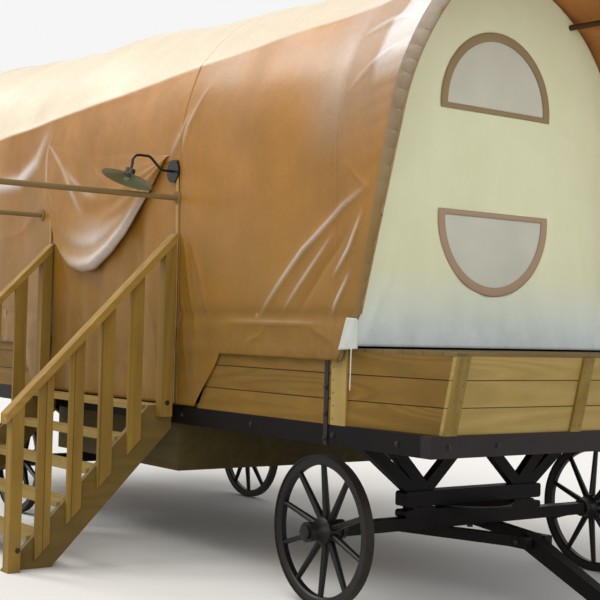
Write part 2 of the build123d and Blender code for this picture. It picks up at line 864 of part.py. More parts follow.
door_cut_length = door_front_x - door_rear_x - 2 * door_cloth_lap
door_cut_height = door_cloth_top - door_cloth_lap - hem_height
with BuildPart() as cover_door:
    add(cover_bay("door_front", "door_rear"))
    with BuildSketch(Plane.XZ.offset(hem_half - door_cut_depth)):
        with Locations(((door_front_x + door_rear_x) / 2, hem_height)):
            Rectangle(door_cut_length, 2 * door_cut_height)
    extrude(amount=2 * door_cut_depth, mode=Mode.SUBTRACT)
    add(rod_hole(awning_rod_xs[0], awning_rod_z, awning_rod_radius), mode=Mode.SUBTRACT)
    add(rod_hole(lamp_x, lamp_z, lamp_tube_radius), mode=Mode.SUBTRACT)
keep(cover_door.part, "cover_door")

# The door cloth's skirts lap the slanting ends of the planks, below the bows' feet
skirt_top = hem_height + door_cloth_lap
skirt_foot = rail_top + swing_gap
skirt_run = (door_wall_top_inset - door_wall_foot_inset) * (skirt_top - rail_top) / (wall_top - rail_top)
with BuildPart() as door_cloth:
    with BuildSketch(Plane.XZ.offset(door_cloth_outer - door_cloth_thickness)):
        with BuildLine():
            Polyline(
                (door_front_x, door_cloth_top),
                (door_front_x, skirt_top),
                (door_foot_front + skirt_run + door_skirt_lap, skirt_top),
                (door_foot_front + door_skirt_lap, skirt_foot),
                (door_foot_rear - door_skirt_lap, skirt_foot),
                (door_foot_rear - skirt_run - door_skirt_lap, skirt_top),
                (door_rear_x, skirt_top),
                (door_rear_x, door_cloth_top),
                close=True,
            )
        make_face()
    extrude(amount=door_cloth_thickness)
keep(door_cloth.part, "door_cloth")

with BuildPart() as door_posts:
    with BuildSketch(Plane.XY.offset(deck_top)):
        with Locations(*[(x, -door_post_outer + door_post_depth / 2) for x in door_post_xs]):
            Rectangle(door_post_width, door_post_depth)
    extrude(amount=door_post_top - deck_top)
    with BuildSketch(Plane.XZ.offset(door_post_outer - door_post_depth)):
        with Locations(*[(x, awning_rod_z) for x in awning_rod_xs]):
            Circle(awning_rod_radius + seat_gap)
        with Locations((lamp_x, lamp_z)):
            Circle(lamp_tube_radius + seat_gap)
    extrude(amount=door_post_depth, mode=Mode.SUBTRACT)
keep(door_posts.part, "door_posts")

# Bows under the cloth, purlins under the bows, and the leaning hoops that hold the bonnets open
bow_xs = [front_wall_x - end_wall_thickness - seat_gap - bow_width / 2]
bow_xs += [door_front_x + bow_width, door_rear_x - bow_width]
bow_xs += [rear_wall_x + seat_gap + bow_width / 2]
bow_xs += [bow_xs[0] + (bow_xs[1] - bow_xs[0]) / 2]
bow_xs += [bow_xs[2] + (bow_xs[3] - bow_xs[2]) / 3 * step for step in (1, 2)]
bow_inset = cover_thickness + seat_gap


def bent_strip(front, rear, inset, thickness, foot):
    """A strip bent round the inside of the cover, between two arch sections."""
    with BuildPart() as strip:
        for section in (front, rear):
            add(arch_sketch(*section, inset, foot))
        loft(ruled=True)
        for section in (front, rear):
            add(arch_sketch(*section, inset + thickness, foot - thickness))
        loft(ruled=True, mode=Mode.SUBTRACT)
    return strip.part


with BuildPart() as bows:
    for x in bow_xs:
        edges = [(edge, 0, spring_at(edge), arch_radius) for edge in (x + bow_width / 2, x - bow_width / 2)]
        add(bent_strip(*edges, bow_inset, bow_thickness, wall_top + seat_gap))
keep(bows.part, "bows")

purlin_reach = bow_inner - seat_gap - purlin_radius


def purlin_point(x, angle):
    """Where a purlin's middle passes a place along the wagon."""
    turn = radians(angle)
    return (x, purlin_reach * sin(turn), spring_at(x) + purlin_reach * cos(turn))


def purlin_end(section, inward, angle):
    """Where a purlin's middle ends, under the outer edge of a bonnet's hoop."""
    x, lean, spring, radius = cover_sections[section]
    turn = radians(angle)
    under = cover_thickness + hoop_clearance + hoop_thickness
    below = seat_gap + purlin_radius
    z = spring + (radius - under * cos(radians(lean)) - below) * cos(turn)
    end_x = x + inward * hoop_set_back + (z - hem_height) * tan(radians(lean))
    return (end_x, (radius - under - below) * sin(turn), z)


purlin_xs = (
    front_wall_x + purlin_bend,
    front_wall_x - bonnet_lap,
    door_front_x,
    door_rear_x,
    rear_wall_x + bonnet_lap,
    rear_corner_x - purlin_bend,
)
# columns: angle from the ridge under the cover, and under the hoops
purlin_rows = (
    (-purlin_angle, -purlin_angle - purlin_splay),
    (0.0, 0.0),
    (purlin_angle, purlin_angle + purlin_splay),
)
with BuildPart() as purlins:
    for angle, end_angle in purlin_rows:
        with BuildLine() as run:
            Polyline(
                purlin_end("front_hoop", -1, end_angle),
                *[purlin_point(x, angle) for x in purlin_xs],
                purlin_end("rear_hoop", 1, end_angle),
            )
        with BuildSketch(Plane(origin=run.line @ 0, z_dir=run.line % 0)):
            Circle(purlin_radius)
        sweep(path=run.line, transition=Transition.RIGHT)
keep(purlins.part, "purlins")


hoop_rise = (hoop_set_back + hoop_width + seat_gap) / tan(radians(bonnet_lean))
hoop_foot = hem_height + max(bonnet_tip_height, hoop_rise)
with BuildPart() as hoops:
    for name, inward in (("front_hoop", -1), ("rear_hoop", 1)):
        x, lean, spring, radius = cover_sections[name]
        places = (x + inward * hoop_set_back, x + inward * (hoop_set_back + hoop_width))
        edges = [(place, lean, spring, radius) for place in places]
        add(bent_strip(*edges, cover_thickness + hoop_clearance, hoop_thickness, hoop_foot))
keep(hoops.part, "bonnet_hoops")

# End walls of cloth, with a window over a window, each a mesh pane in a bound edge
end_wall_foot = wall_top + end_wall_lift
# columns: level of the flat side, level of the round side's top or bottom
window_rows = (
    (upper_window_foot, upper_window_foot + upper_window_rise),
    (lower_window_top, lower_window_top - lower_window_drop),
)


def window_sketch(plane, inset):
    """Both window outlines on a plane across the wagon, drawn in from the binding's outside."""
    with BuildSketch(plane) as windows:
        for flat, round_end in window_rows:
            inward = inset if round_end > flat else -inset
            with BuildLine():
                Line((window_half - inset, flat + inward), (-window_half + inset, flat + inward))
                ThreePointArc(
                    (-window_half + inset, flat + inward),
                    (0, round_end - inward),
                    (window_half - inset, flat + inward),
                )
            make_face()
    return windows.sketch


def upright_plane(x):
    """Plane across the wagon at a place along it."""
    return Plane(origin=(x, 0, 0), x_dir=(0, 1, 0), z_dir=(1, 0, 0))


# columns: name, inner face of the cloth, outward direction
end_rows = (("front", front_wall_x - end_wall_thickness, 1), ("rear", rear_wall_x, -1))
for name, inner_x, outward in end_rows:
    with BuildPart() as end_cloth:
        outline = arch_sketch(inner_x, 0, spring_at(inner_x), arch_radius, bow_inset, end_wall_foot)
        extrude(outline, outward * end_wall_thickness, dir=forward)
        opening = window_sketch(upright_plane(inner_x), binding_width - binding_lap)
        extrude(opening, outward * end_wall_thickness, dir=forward, mode=Mode.SUBTRACT)
        with BuildSketch(upright_plane(inner_x)) as purlin_holes:
            with Locations(*[purlin_point(inner_x, angle)[1:] for angle, _ in purlin_rows]):
                Circle(purlin_radius + running_gap)
        extrude(purlin_holes.sketch, outward * end_wall_thickness, dir=forward, mode=Mode.SUBTRACT)
    keep(end_cloth.part, f"end_cloth_{name}")

with BuildPart() as panes:
    for name, inner_x, outward in end_rows:
        pane = window_sketch(upright_plane(inner_x), binding_width - binding_lap + seat_gap)
        extrude(pane, outward * mesh_thickness, dir=forward)
keep(panes.part, "window_meshes")

with BuildPart() as bindings:
    for name, inner_x, outward in end_rows:
        face_plane = upright_plane(inner_x + outward * (end_wall_thickness + seat_gap))
        extrude(window_sketch(face_plane, 0), outward * binding_thickness, dir=forward)
        inside = window_sketch(face_plane, binding_width)
        extrude(inside, outward * binding_thickness, dir=forward, mode=Mode.SUBTRACT)
keep(bindings.part, "window_bindings")

# Stairs: distances out from the centre plane, on the near side
stair_inner = body_half + seat_gap
stair_top = stair_inner + stair_stand_off
rise = rail_top / rise_count
stringer_head = stair_top + tread_depth - stringer_nose
stringer_foot = stringer_head + stair_going * rise_count
stair_pitch = atan(rise / stair_going)
stringer_run = stringer_depth / sin(stair_pitch)


def upper_edge(out):
    """Height of the stringer's upper edge at a distance out from the centre plane."""
    return (stringer_foot - out) * tan(stair_pitch)


side_xs = ((stair_front_x, 1), (stair_rear_x, -1))
with BuildPart() as stringers:
    for x, outward in side_xs:
        with BuildSketch(upright_plane(x)):
            with BuildLine():
                Polyline(
                    (-stair_inner, rail_top),
                    (-stringer_head, rail_top),
                    (-stringer_foot, 0),
                    (-stringer_foot + stringer_run, 0),
                    (-stair_inner, upper_edge(stair_inner) - stringer_run * tan(stair_pitch)),
                    close=True,
                )
            make_face()
        extrude(amount=-outward * stringer_thickness)
keep(stringers.part, "stair_stringers")

tread_half = (stair_front_x - stair_rear_x) / 2 - stringer_thickness
stair_mid_x = (stair_front_x + stair_rear_x) / 2
with BuildPart() as treads:
    for step in range(1, rise_count + 1):
        out = stair_top + (rise_count - step) * stair_going + tread_depth / 2
        with BuildSketch(Plane.XY.offset(step * rise - tread_thickness)):
            with Locations((stair_mid_x, -out)):
                Rectangle(2 * tread_half, tread_depth)
        extrude(amount=tread_thickness)
keep(treads.part, "stair_treads")

rail_head = max(arch_radius, hem_half) + swing_gap
newel_outs = (rail_head + newel_size / 2, stringer_foot - newel_size / 2)
newel_feet = (upper_edge(newel_outs[0]) - stringer_run * tan(stair_pitch) / 2, 0)
with BuildPart() as newels:
    for x, outward in side_xs:
        for out, foot in zip(newel_outs, newel_feet):
            with BuildSketch(upright_plane(x + outward * seat_gap)):
                with BuildLine():
                    Polyline(
                        (-out + newel_size / 2, foot),
                        (-out - newel_size / 2, foot),
                        (-out - newel_size / 2, upper_edge(out + newel_size / 2) + rail_rise),
                        (-out + newel_size / 2, upper_edge(out - newel_size / 2) + rail_rise),
                        close=True,
                    )
                make_face()
            extrude(amount=outward * newel_size)
keep(newels.part, "stair_newels")

baluster_pitch = (newel_outs[1] - newel_outs[0]) / rise_count
baluster_outs = [newel_outs[0] + baluster_pitch * step for step in range(1, rise_count)]
with BuildPart() as balusters:
    for x, outward in side_xs:
        for out in baluster_outs:
            inner, outer = out - baluster_width / 2, out + baluster_width / 2
            with BuildSketch(upright_plane(x + outward * seat_gap)):
                with BuildLine():
                    Polyline(
                        (-inner, upper_edge(inner) - baluster_drop),
                        (-outer, upper_edge(outer) - baluster_drop),
                        (-outer, upper_edge(outer) + rail_rise),
                        (-inner, upper_edge(inner) + rail_rise),
                        close=True,
                    )
                make_face()
            extrude(amount=outward * baluster_thickness)
keep(balusters.part, "stair_balusters")

rail_out_low = stringer_foot + newel_size / 2
rail_lift = handrail_thickness / cos(stair_pitch)
with BuildPart() as handrails:
    for x, outward in side_xs:
        with BuildSketch(upright_plane(x + outward * (newel_size / 2 - handrail_width / 2))):
            with BuildLine():
                Polyline(
                    (-rail_head, upper_edge(rail_head) + rail_rise + seat_gap),
                    (-rail_out_low, upper_edge(rail_out_low) + rail_rise + seat_gap),
                    (-rail_out_low, upper_edge(rail_out_low) + rail_rise + rail_lift),
                    (-rail_head, upper_edge(rail_head) + rail_rise + rail_lift),
                    close=True,
                )
            make_face()
        extrude(amount=outward * handrail_width)
keep(handrails.part, "stair_handrails")

# Awning rods, and the cloth slung between them


def cloth_face(z):
    """How far out the cloth's face stands beside the door, at a height."""
    return hem_half + cover_swell * (z - hem_height) / (door_front_spring - hem_height)


with BuildPart() as rods:
    for x in awning_rod_xs:
        with BuildSketch(Plane.XZ.offset(door_post_outer - awning_rod_hold)):
            with Locations((x, awning_rod_z)):
                Circle(awning_rod_radius)
        extrude(amount=awning_rod_end - door_post_outer + awning_rod_hold)
        with BuildSketch(Plane.XZ.offset(cloth_face(awning_rod_z + awning_flange_radius) + seat_gap)):
            with Locations((x, awning_rod_z)):
                Circle(awning_flange_radius)
        extrude(amount=awning_flange_thickness)
keep(rods.part, "awning_rods")

swag_inner = cloth_face(awning_rod_z + swag_edge[0][1]) + seat_gap
with BuildPart() as swag:
    with BuildSketch(Plane.XZ.offset(swag_inner)):
        with BuildLine():
            Polyline(
                *[(door_front_x - behind, awning_rod_z + above) for behind, above in swag_edge],
                close=True,
            )
        make_face()
    extrude(amount=swag_thickness)
keep(swag.part, "awning_swag")

# Lamp: a plate on the door post, a bent tube and a shallow shade, tilted with the tube's end
lamp_back = cloth_face(lamp_z + lamp_plate_radius) + seat_gap
with BuildPart() as lamp_mount:
    with BuildSketch(Plane.XZ.offset(lamp_back)):
        with Locations((lamp_x, lamp_z)):
            Circle(lamp_plate_radius)
    extrude(amount=lamp_plate_thickness)
    with BuildSketch(Plane.XZ.offset(door_post_outer - awning_rod_hold)):
        with Locations((lamp_x, lamp_z)):
            Circle(lamp_tube_radius)
    extrude(amount=lamp_back - door_post_outer + awning_rod_hold)
keep(lamp_mount.part, "lamp_mount")

arm_start = lamp_back + lamp_plate_thickness + seat_gap
lean_out = sin(radians(lamp_lean))
lean_up = cos(radians(lamp_lean))
run_out, run_up = lamp_run[-1]
lamp_points = [*lamp_run, (run_out + lamp_tail * lean_out, run_up - lamp_tail * lean_up)]
with BuildPart() as lamp_arm:
    with BuildLine() as bend:
        FilletPolyline(
            *[(lamp_x, -arm_start - out, lamp_z + up) for out, up in lamp_points],
            radius=lamp_bend,
        )
    with BuildSketch(Plane(origin=bend.line @ 0, z_dir=bend.line % 0)):
        Circle(lamp_tube_radius)
    sweep(path=bend.line)
keep(lamp_arm.part, "lamp_arm")

# The shade and bulb are turned about the tube's end, measured down from it
end_out, end_up = lamp_points[-1]
lamp_end = (lamp_x, -arm_start - end_out, lamp_z + end_up)
shade_axis = Axis(lamp_end, (0, lean_out, lean_up))
shade_plane = Plane(origin=lamp_end, x_dir=(1, 0, 0), z_dir=(0, -lean_up, lean_out))
cap_foot = -seat_gap - lamp_cap_height
with BuildPart() as lamp_shade:
    with BuildSketch(shade_plane):
        with BuildLine():
            Polyline(
                (0, -seat_gap),
                (lamp_cap_radius, -seat_gap),
                (lamp_cap_radius, cap_foot),
                (lamp_shade_radius, cap_foot - lamp_shade_height),
                (lamp_shade_radius - lamp_shade_wall, cap_foot - lamp_shade_height),
                (lamp_cap_radius - lamp_shade_wall, cap_foot - lamp_shade_wall),
                (0, cap_foot - lamp_shade_wall),
                close=True,
            )
        make_face()
    revolve(axis=shade_axis)
keep(lamp_shade.part, "lamp_shade")

bulb_top = cap_foot - lamp_shade_wall - seat_gap
bulb_shoulder = bulb_top - lamp_bulb_radius
with BuildPart() as lamp_bulb:
    with BuildSketch(shade_plane):
        with BuildLine():
            Polyline(
                (0, bulb_shoulder - lamp_bulb_radius),
                (0, bulb_top),
                (lamp_bulb_radius / 2, bulb_top),
                (lamp_bulb_radius / 2, bulb_top - lamp_bulb_radius / 2),
                (lamp_bulb_radius, bulb_shoulder),
            )
            RadiusArc(
                (lamp_bulb_radius, bulb_shoulder),
                (0, bulb_shoulder - lamp_bulb_radius),
                lamp_bulb_radius,
            )
        make_face()
    revolve(axis=shade_axis)
keep(lamp_bulb.part, "lamp_bulb")
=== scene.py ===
"""Looks of a covered wagon: cloth, timber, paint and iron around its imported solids.

Sizes are metres. Pieces are worked out in the wagon's own measure, with X forward from the front
axle, Y from the centre plane (the near side, with the stairs, is negative) and Z up, where the top
of the chassis rails is at 1.040. They are then brought to the place that the solids of the front
axle and of the rails have in the frame.
"""

import logging
import math
from dataclasses import dataclass
from enum import Enum
from typing import Callable, Sequence

import bpy
import numpy as np
from mathutils import Matrix, Vector


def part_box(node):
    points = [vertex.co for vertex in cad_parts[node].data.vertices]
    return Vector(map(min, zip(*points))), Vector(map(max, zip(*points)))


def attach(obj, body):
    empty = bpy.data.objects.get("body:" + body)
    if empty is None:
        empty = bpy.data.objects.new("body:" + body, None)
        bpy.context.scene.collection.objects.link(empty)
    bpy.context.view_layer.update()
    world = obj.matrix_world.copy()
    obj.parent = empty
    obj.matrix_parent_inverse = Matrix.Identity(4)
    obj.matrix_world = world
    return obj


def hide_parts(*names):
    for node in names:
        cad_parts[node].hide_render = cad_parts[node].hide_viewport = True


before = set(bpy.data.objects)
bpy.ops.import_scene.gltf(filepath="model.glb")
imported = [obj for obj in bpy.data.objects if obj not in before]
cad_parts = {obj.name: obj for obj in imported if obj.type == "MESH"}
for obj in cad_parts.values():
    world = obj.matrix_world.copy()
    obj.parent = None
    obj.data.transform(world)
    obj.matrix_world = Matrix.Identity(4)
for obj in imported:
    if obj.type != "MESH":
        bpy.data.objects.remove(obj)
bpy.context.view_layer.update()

logging.basicConfig(level=logging.INFO, format="%(message)s")
log = logging.getLogger("wagon")

Array = np.ndarray
Material = bpy.types.Material
Node = bpy.types.Node
Piece = bpy.types.Object
Socket = bpy.types.NodeSocket
Colour = tuple[float, float, float, float]
Screen = tuple[int, int, int]
Place = tuple[float, float, float]
Filling = Callable[["Wiring", Sequence[Socket]], dict[str, Socket]]

NEAR, FAR = -1.0, 1.0
ROOT = "root"
RANDOM_SEED = 41

RAIL_TOP = 1.040
RAIL_MIDDLE = 0.9825
WALL_FACE = 1.073
PLANK = 0.144
PORCH_FRONT_FOOT = 0.8185
PORCH_RUN, PORCH_RISE = 0.096, 0.412
DOOR_MIDDLE = -2.66
HEM = 1.4
HEM_HALF = 1.092
DOOR_HEM = 1.052
COVER_RADIUS = 1.110
LEG_SHARE = 0.2
SHOULDER_TOP = 3.43
SHOULDER_FALL = 0.068
TIP_TOP = 1.66
TIP_BACK = 0.088
# Strength of the painted highlights along the cover's folds and on the swag.
HIGHLIGHT_SHARE = 0.72
WHEEL_PLACES = ("front_near", "front_far", "rear_near", "rear_far")
GREYED, TIMBER_DUST, PAINT_DUST, CANVAS_GRUB = (104, 94, 66), (84, 74, 50), (104, 92, 70), (126, 118, 92)
BOLT_HEAD = ((0.0, 0.017), (0.003, 0.017), (0.0035, 0.011), (0.010, 0.0108), (0.012, 0.009))
SCREW_HEAD = ((0.0, 0.0055), (0.0012, 0.0055), (0.002, 0.004))

axle_low, axle_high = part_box("axle_front")
rail_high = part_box("chassis_rails")[1]
WAGON_ORIGIN = np.array([(axle_low.x + axle_high.x) / 2, (axle_low.y + axle_high.y) / 2,
                         rail_high.z - RAIL_TOP])


class Grain(Enum):
    """The direction that a timber's grain runs, with the stretch of its pattern."""

    ALONG = (0.55, 7.0, 7.0)
    ACROSS = (7.0, 0.55, 7.0)
    UP = (7.0, 7.0, 0.55)


class Held(Enum):
    """How a sheet of cloth is held."""

    STRETCHED = "stretched"
    HUNG = "hung"


def to_frame(points: Array | Sequence) -> Array:
    """Bring points, whose last axis is X, Y, Z, from the wagon's measure to the frame."""
    return np.asarray(points, float) + WAGON_ORIGIN


def colour(screen: Screen) -> Colour:
    """Turn a screen colour into the linear values that shaders take.

    Args:
        screen: Red, green and blue, 0 to 255.

    Returns:
        Linear red, green and blue, and an alpha of 1.
    """
    share = np.array(screen) / 255.0
    linear = np.where(share <= 0.04045, share / 12.92, ((share + 0.055) / 1.055) ** 2.4)
    return (*linear.tolist(), 1.0)


class Wiring:
    """A short way to add and join the nodes of a shader tree."""

    def __init__(self, tree: bpy.types.NodeTree) -> None:
        """Keep the tree that nodes are added to."""
        self.tree = tree

    def join(self, node: Node, inputs: dict) -> Node:
        """Set a node's inputs.

        Args:
            node: The node.
            inputs: Input names or places, each with a value or with a socket to join.

        Returns:
            The same node.
        """
        for key, value in inputs.items():
            if isinstance(value, Socket):
                self.tree.links.new(value, node.inputs[key])
            else:
                node.inputs[key].default_value = value
        return node

    def add(self, kind: str, inputs: dict | None = None, **settings: object) -> Node:
        """Add a node.

        Args:
            kind: The node's type name, which may leave out ShaderNode at its start.
            inputs: Input names or places, each with a value or with a socket to join.
            settings: Attributes of the node.

        Returns:
            The new node.
        """
        node = self.tree.nodes.new(kind if kind.startswith("Node") else "ShaderNode" + kind)
        for key, value in settings.items():
            setattr(node, key, value)
        return self.join(node, inputs or {})

    def math(self, operation: str, first: object, second: object = 0.0, clamp: bool = False) -> Socket:
        """Add a Math node and return its value."""
        return self.add("Math", {0: first, 1: second}, operation=operation, use_clamp=clamp).outputs[0]

    def vector(self, operation: str, first: object, second: object = (0.0, 0.0, 0.0)) -> Socket:
        """Add a Vector Math node and return its vector."""
        return self.add("VectorMath", {0: first, 1: second}, operation=operation).outputs["Vector"]

    def parts(self, vector: object) -> Sequence[Socket]:
        """Part a vector into its X, Y and Z."""
        return self.add("SeparateXYZ", {0: vector}).outputs

    def spread(self, value: object, low: float, high: float, to_low: float = 0.0,
               to_high: float = 1.0) -> Socket:
        """Map a value from one range to another, held at both ends."""
        ends = {"From Min": low, "From Max": high, "To Min": to_low, "To Max": to_high}
        return self.add("MapRange", {"Value": value, **ends}, clamp=True).outputs["Result"]

    def mix(self, share: object, first: object, second: object) -> Socket:
        """Mix two colours and return the result."""
        return self.add("Mix", {0: share, 6: first, 7: second}, data_type="RGBA").outputs[2]

    def noise(self, vector: object, scale: float, detail: float = 4.0, rough: float = 0.55,
              bend: float = 0.0) -> Socket:
        """Add a Noise Texture and return its value, 0 to 1."""
        inputs = {"Vector": vector, "Scale": scale, "Detail": detail, "Roughness": rough, "Distortion": bend}
        return self.add("TexNoise", inputs).outputs["Fac"]

    def patches(self, vector: object, scale: float, detail: float, rough: float, *ends: float) -> Socket:
        """Spread a noise's value between ends, as broken patches."""
        return self.spread(self.noise(vector, scale, detail, rough), *ends)

    def bump(self, shader: Node, height: Socket, depth: float) -> None:
        """Join a height to a shader's normal, with its depth in metres."""
        relief = self.add("Bump", {"Height": height, "Strength": 1.0, "Distance": depth})
        self.join(shader, {"Normal": relief.outputs["Normal"]})

    def layers(self, first: object, *coats: tuple[object, object]) -> Socket:
        """Lay colours over a first one, each by its own share.

        Args:
            first: The first colour.
            coats: A share and a colour for each coat.

        Returns:
            The colour that shows.
        """
        for share, coat in coats:
            first = self.mix(share, first, coat)
        return first

    def threads(self, count: float, share: float) -> Socket:
        """Height of a weave that runs with the cloth's flat places, times a share."""
        flat = self.add("UVMap", uv_map="cut").outputs["UV"]
        return self.math("MULTIPLY", self.group(weave, {"Vector": flat, "Threads": count})["Height"], share)

    def group(self, build: Filling, inputs: dict) -> Sequence[Socket]:
        """Add a node group, which is made at its first use.

        Args:
            build: Fills the group: takes its wiring and what it is given, and returns what it gives.
            inputs: What the group is given, by name, each with a value or with a socket to join.

        Returns:
            The outputs of the group's node.
        """
        name = build.__name__
        if name not in bpy.data.node_groups:
            tree = bpy.data.node_groups.new(name, "ShaderNodeTree")
            for label in inputs:
                tree.interface.new_socket(label, in_out="INPUT", socket_type=socket_kind(label))
            inner = Wiring(tree)
            gives = build(inner, inner.add("NodeGroupInput").outputs)
            for label in gives:
                tree.interface.new_socket(label, in_out="OUTPUT", socket_type=socket_kind(label))
            inner.join(inner.add("NodeGroupOutput"), gives)
        return self.add("Group", inputs, node_tree=bpy.data.node_groups[name]).outputs


def socket_kind(label: str) -> str:
    """The socket type of a group's input or output: a vector for places and cells, else a float."""
    return "NodeSocketVector" if label in ("Vector", "Cell", "Start", "Shifted") else "NodeSocketFloat"


def board_cells(w: Wiring, given: Sequence[Socket]) -> dict[str, Socket]:
    """Cut space into boards: a random tint, a shift of the grain and a dark joint for each cell.

    Args:
        w: The group's wiring.
        given: What the group is given, by name.

    Returns:
        What it gives, by name.
    """
    half = (0.5, 0.5, 0.5)
    divided = w.vector("DIVIDE", w.vector("SUBTRACT", given["Vector"], given["Start"]), given["Cell"])
    centred = w.vector("ABSOLUTE", w.vector("SUBTRACT", w.vector("FRACTION", divided), half))
    x, y, z = w.parts(w.vector("MULTIPLY", w.vector("SUBTRACT", half, centred), given["Cell"]))
    gap = w.math("MINIMUM", w.math("MINIMUM", x, y), z)
    chance = w.add("TexWhiteNoise", {"Vector": w.vector("FLOOR", divided)}, noise_dimensions="3D").outputs
    shift = w.vector("MULTIPLY", chance["Color"], (9.0, 9.0, 9.0))
    shifted, joint = w.vector("ADD", given["Vector"], shift), w.spread(gap, 0.0012, 0.0045, 1.0, 0.0)
    return {"Tint": chance["Value"], "Shifted": shifted, "Joint": joint}


def timber_grain(w: Wiring, given: Sequence[Socket]) -> dict[str, Socket]:
    """Timber: contour lines of a stretched noise for the figure, fine fibres and sparse knots.

    Args:
        w: The group's wiring.
        given: What the group is given, by name.

    Returns:
        What it gives, by name.
    """
    vector, knots = given["Vector"], given["Knots"]
    away = w.add("TexVoronoi", {"Vector": vector, "Scale": 0.62, "Randomness": 1.0}).outputs["Distance"]
    knot = w.math("MULTIPLY", w.spread(away, 0.03, 0.10, 1.0, 0.0), knots, clamp=True)
    around = w.math("MULTIPLY", w.spread(away, 0.0, 0.4, 0.5, 0.0), knots)
    broad = w.math("ADD", w.noise(vector, 0.5, 1.5, 0.4, 0.15), around)
    lines = w.spread(w.math("SINE", w.math("MULTIPLY", broad, 46.0)), -1.0, 1.0)
    fibre = w.math("MULTIPLY", w.noise(vector, 11.0, 6.0, 0.7), 0.65)
    figure = w.math("ADD", w.math("MULTIPLY", lines, 0.35), fibre)
    height = w.math("SUBTRACT", figure, w.math("MULTIPLY", knot, 0.3))
    return {"Figure": figure, "Knot": knot, "Height": height}


def edge_wear(w: Wiring, given: Sequence[Socket]) -> dict[str, Socket]:
    """Edges: where a rounded normal turns away from the true one, broken up by noise.

    Args:
        w: The group's wiring.
        given: What the group is given, by name.

    Returns:
        What it gives, by name.
    """
    rounded = w.add("Bevel", {"Radius": given["Width"]}, samples=4).outputs["Normal"]
    true = w.add("NewGeometry").outputs["Normal"]
    facing = w.add("VectorMath", {0: rounded, 1: true}, operation="DOT_PRODUCT").outputs["Value"]
    broken = w.patches(given["Vector"], 26.0, 5.0, 0.7, 0.42, 0.62)
    return {"Worn": w.math("MULTIPLY", w.spread(facing, 0.995, 0.86), broken, clamp=True)}


def road_dust(w: Wiring, given: Sequence[Socket]) -> dict[str, Socket]:
    """Dust and splashes: thick near the ground, in patches and specks, and thin above the reach.

    Args:
        w: The group's wiring.
        given: What the group is given, by name.

    Returns:
        What it gives, by name.
    """
    height = w.parts(given["Vector"])["Z"]
    low = w.math("SUBTRACT", 1.0, w.math("DIVIDE", height, given["Reach"]), clamp=True)
    patches = w.math("MULTIPLY", w.patches(given["Vector"], 5.5, 8.0, 0.68, 0.36, 0.68), 0.7)
    specks = w.math("MULTIPLY", w.patches(given["Vector"], 70.0, 3.0, 0.6, 0.5, 0.75), 0.5)
    return {"Dust": w.math("MULTIPLY", w.math("ADD", low, 0.12), w.math("ADD", patches, specks), clamp=True)}


def weave(w: Wiring, given: Sequence[Socket]) -> dict[str, Socket]:
    """Weave: threads that cross, the higher of two bands at each place, with holes between them.

    Args:
        w: The group's wiring.
        given: What the group is given, by name.

    Returns:
        What it gives, by name.
    """
    scaled = w.add("VectorMath", {0: given["Vector"], "Scale": given["Threads"]}, operation="SCALE")
    parts = w.parts(scaled.outputs["Vector"])
    warp, weft = (w.math("ABSOLUTE", w.math("SINE", parts[axis])) for axis in ("X", "Y"))
    return {"Height": w.math("MAXIMUM", warp, weft), "Holes": w.math("MULTIPLY", warp, weft)}


def cloth_tone(w: Wiring, given: Sequence[Socket]) -> dict[str, Socket]:
    """Cloth tone: soft clouds, long streaks down the cloth and a grubby hem.

    Args:
        w: The group's wiring.
        given: What the group is given, by name.

    Returns:
        What it gives, by name.
    """
    vector = given["Vector"]
    clouds = w.math("MULTIPLY", w.noise(vector, 1.3, 5.0, 0.6), 0.7)
    runs = w.noise(w.vector("MULTIPLY", vector, (3.0, 3.0, 0.7)), 1.0, 5.0, 0.65)
    hem = w.spread(w.parts(vector)["Z"], 1.4, 1.75, 1.0, 0.0)
    grub = w.math("MULTIPLY", hem, w.patches(vector, 6.0, 6.0, 0.7, 0.35, 0.7))
    return {"Tone": w.math("ADD", clouds, w.math("MULTIPLY", runs, 0.3)), "Grub": grub}


def new_material(name: str) -> tuple[Material, Wiring, Node, Socket]:
    """Start a material.

    Args:
        name: The material's name.

    Returns:
        The material, its wiring, its Principled BSDF and the Object coordinates.
    """
    material = bpy.data.materials.new(name)
    material.use_nodes = True
    wiring = Wiring(material.node_tree)
    shader = next(n for n in material.node_tree.nodes if n.type == "BSDF_PRINCIPLED")
    return material, wiring, shader, wiring.add("TexCoord").outputs["Object"]


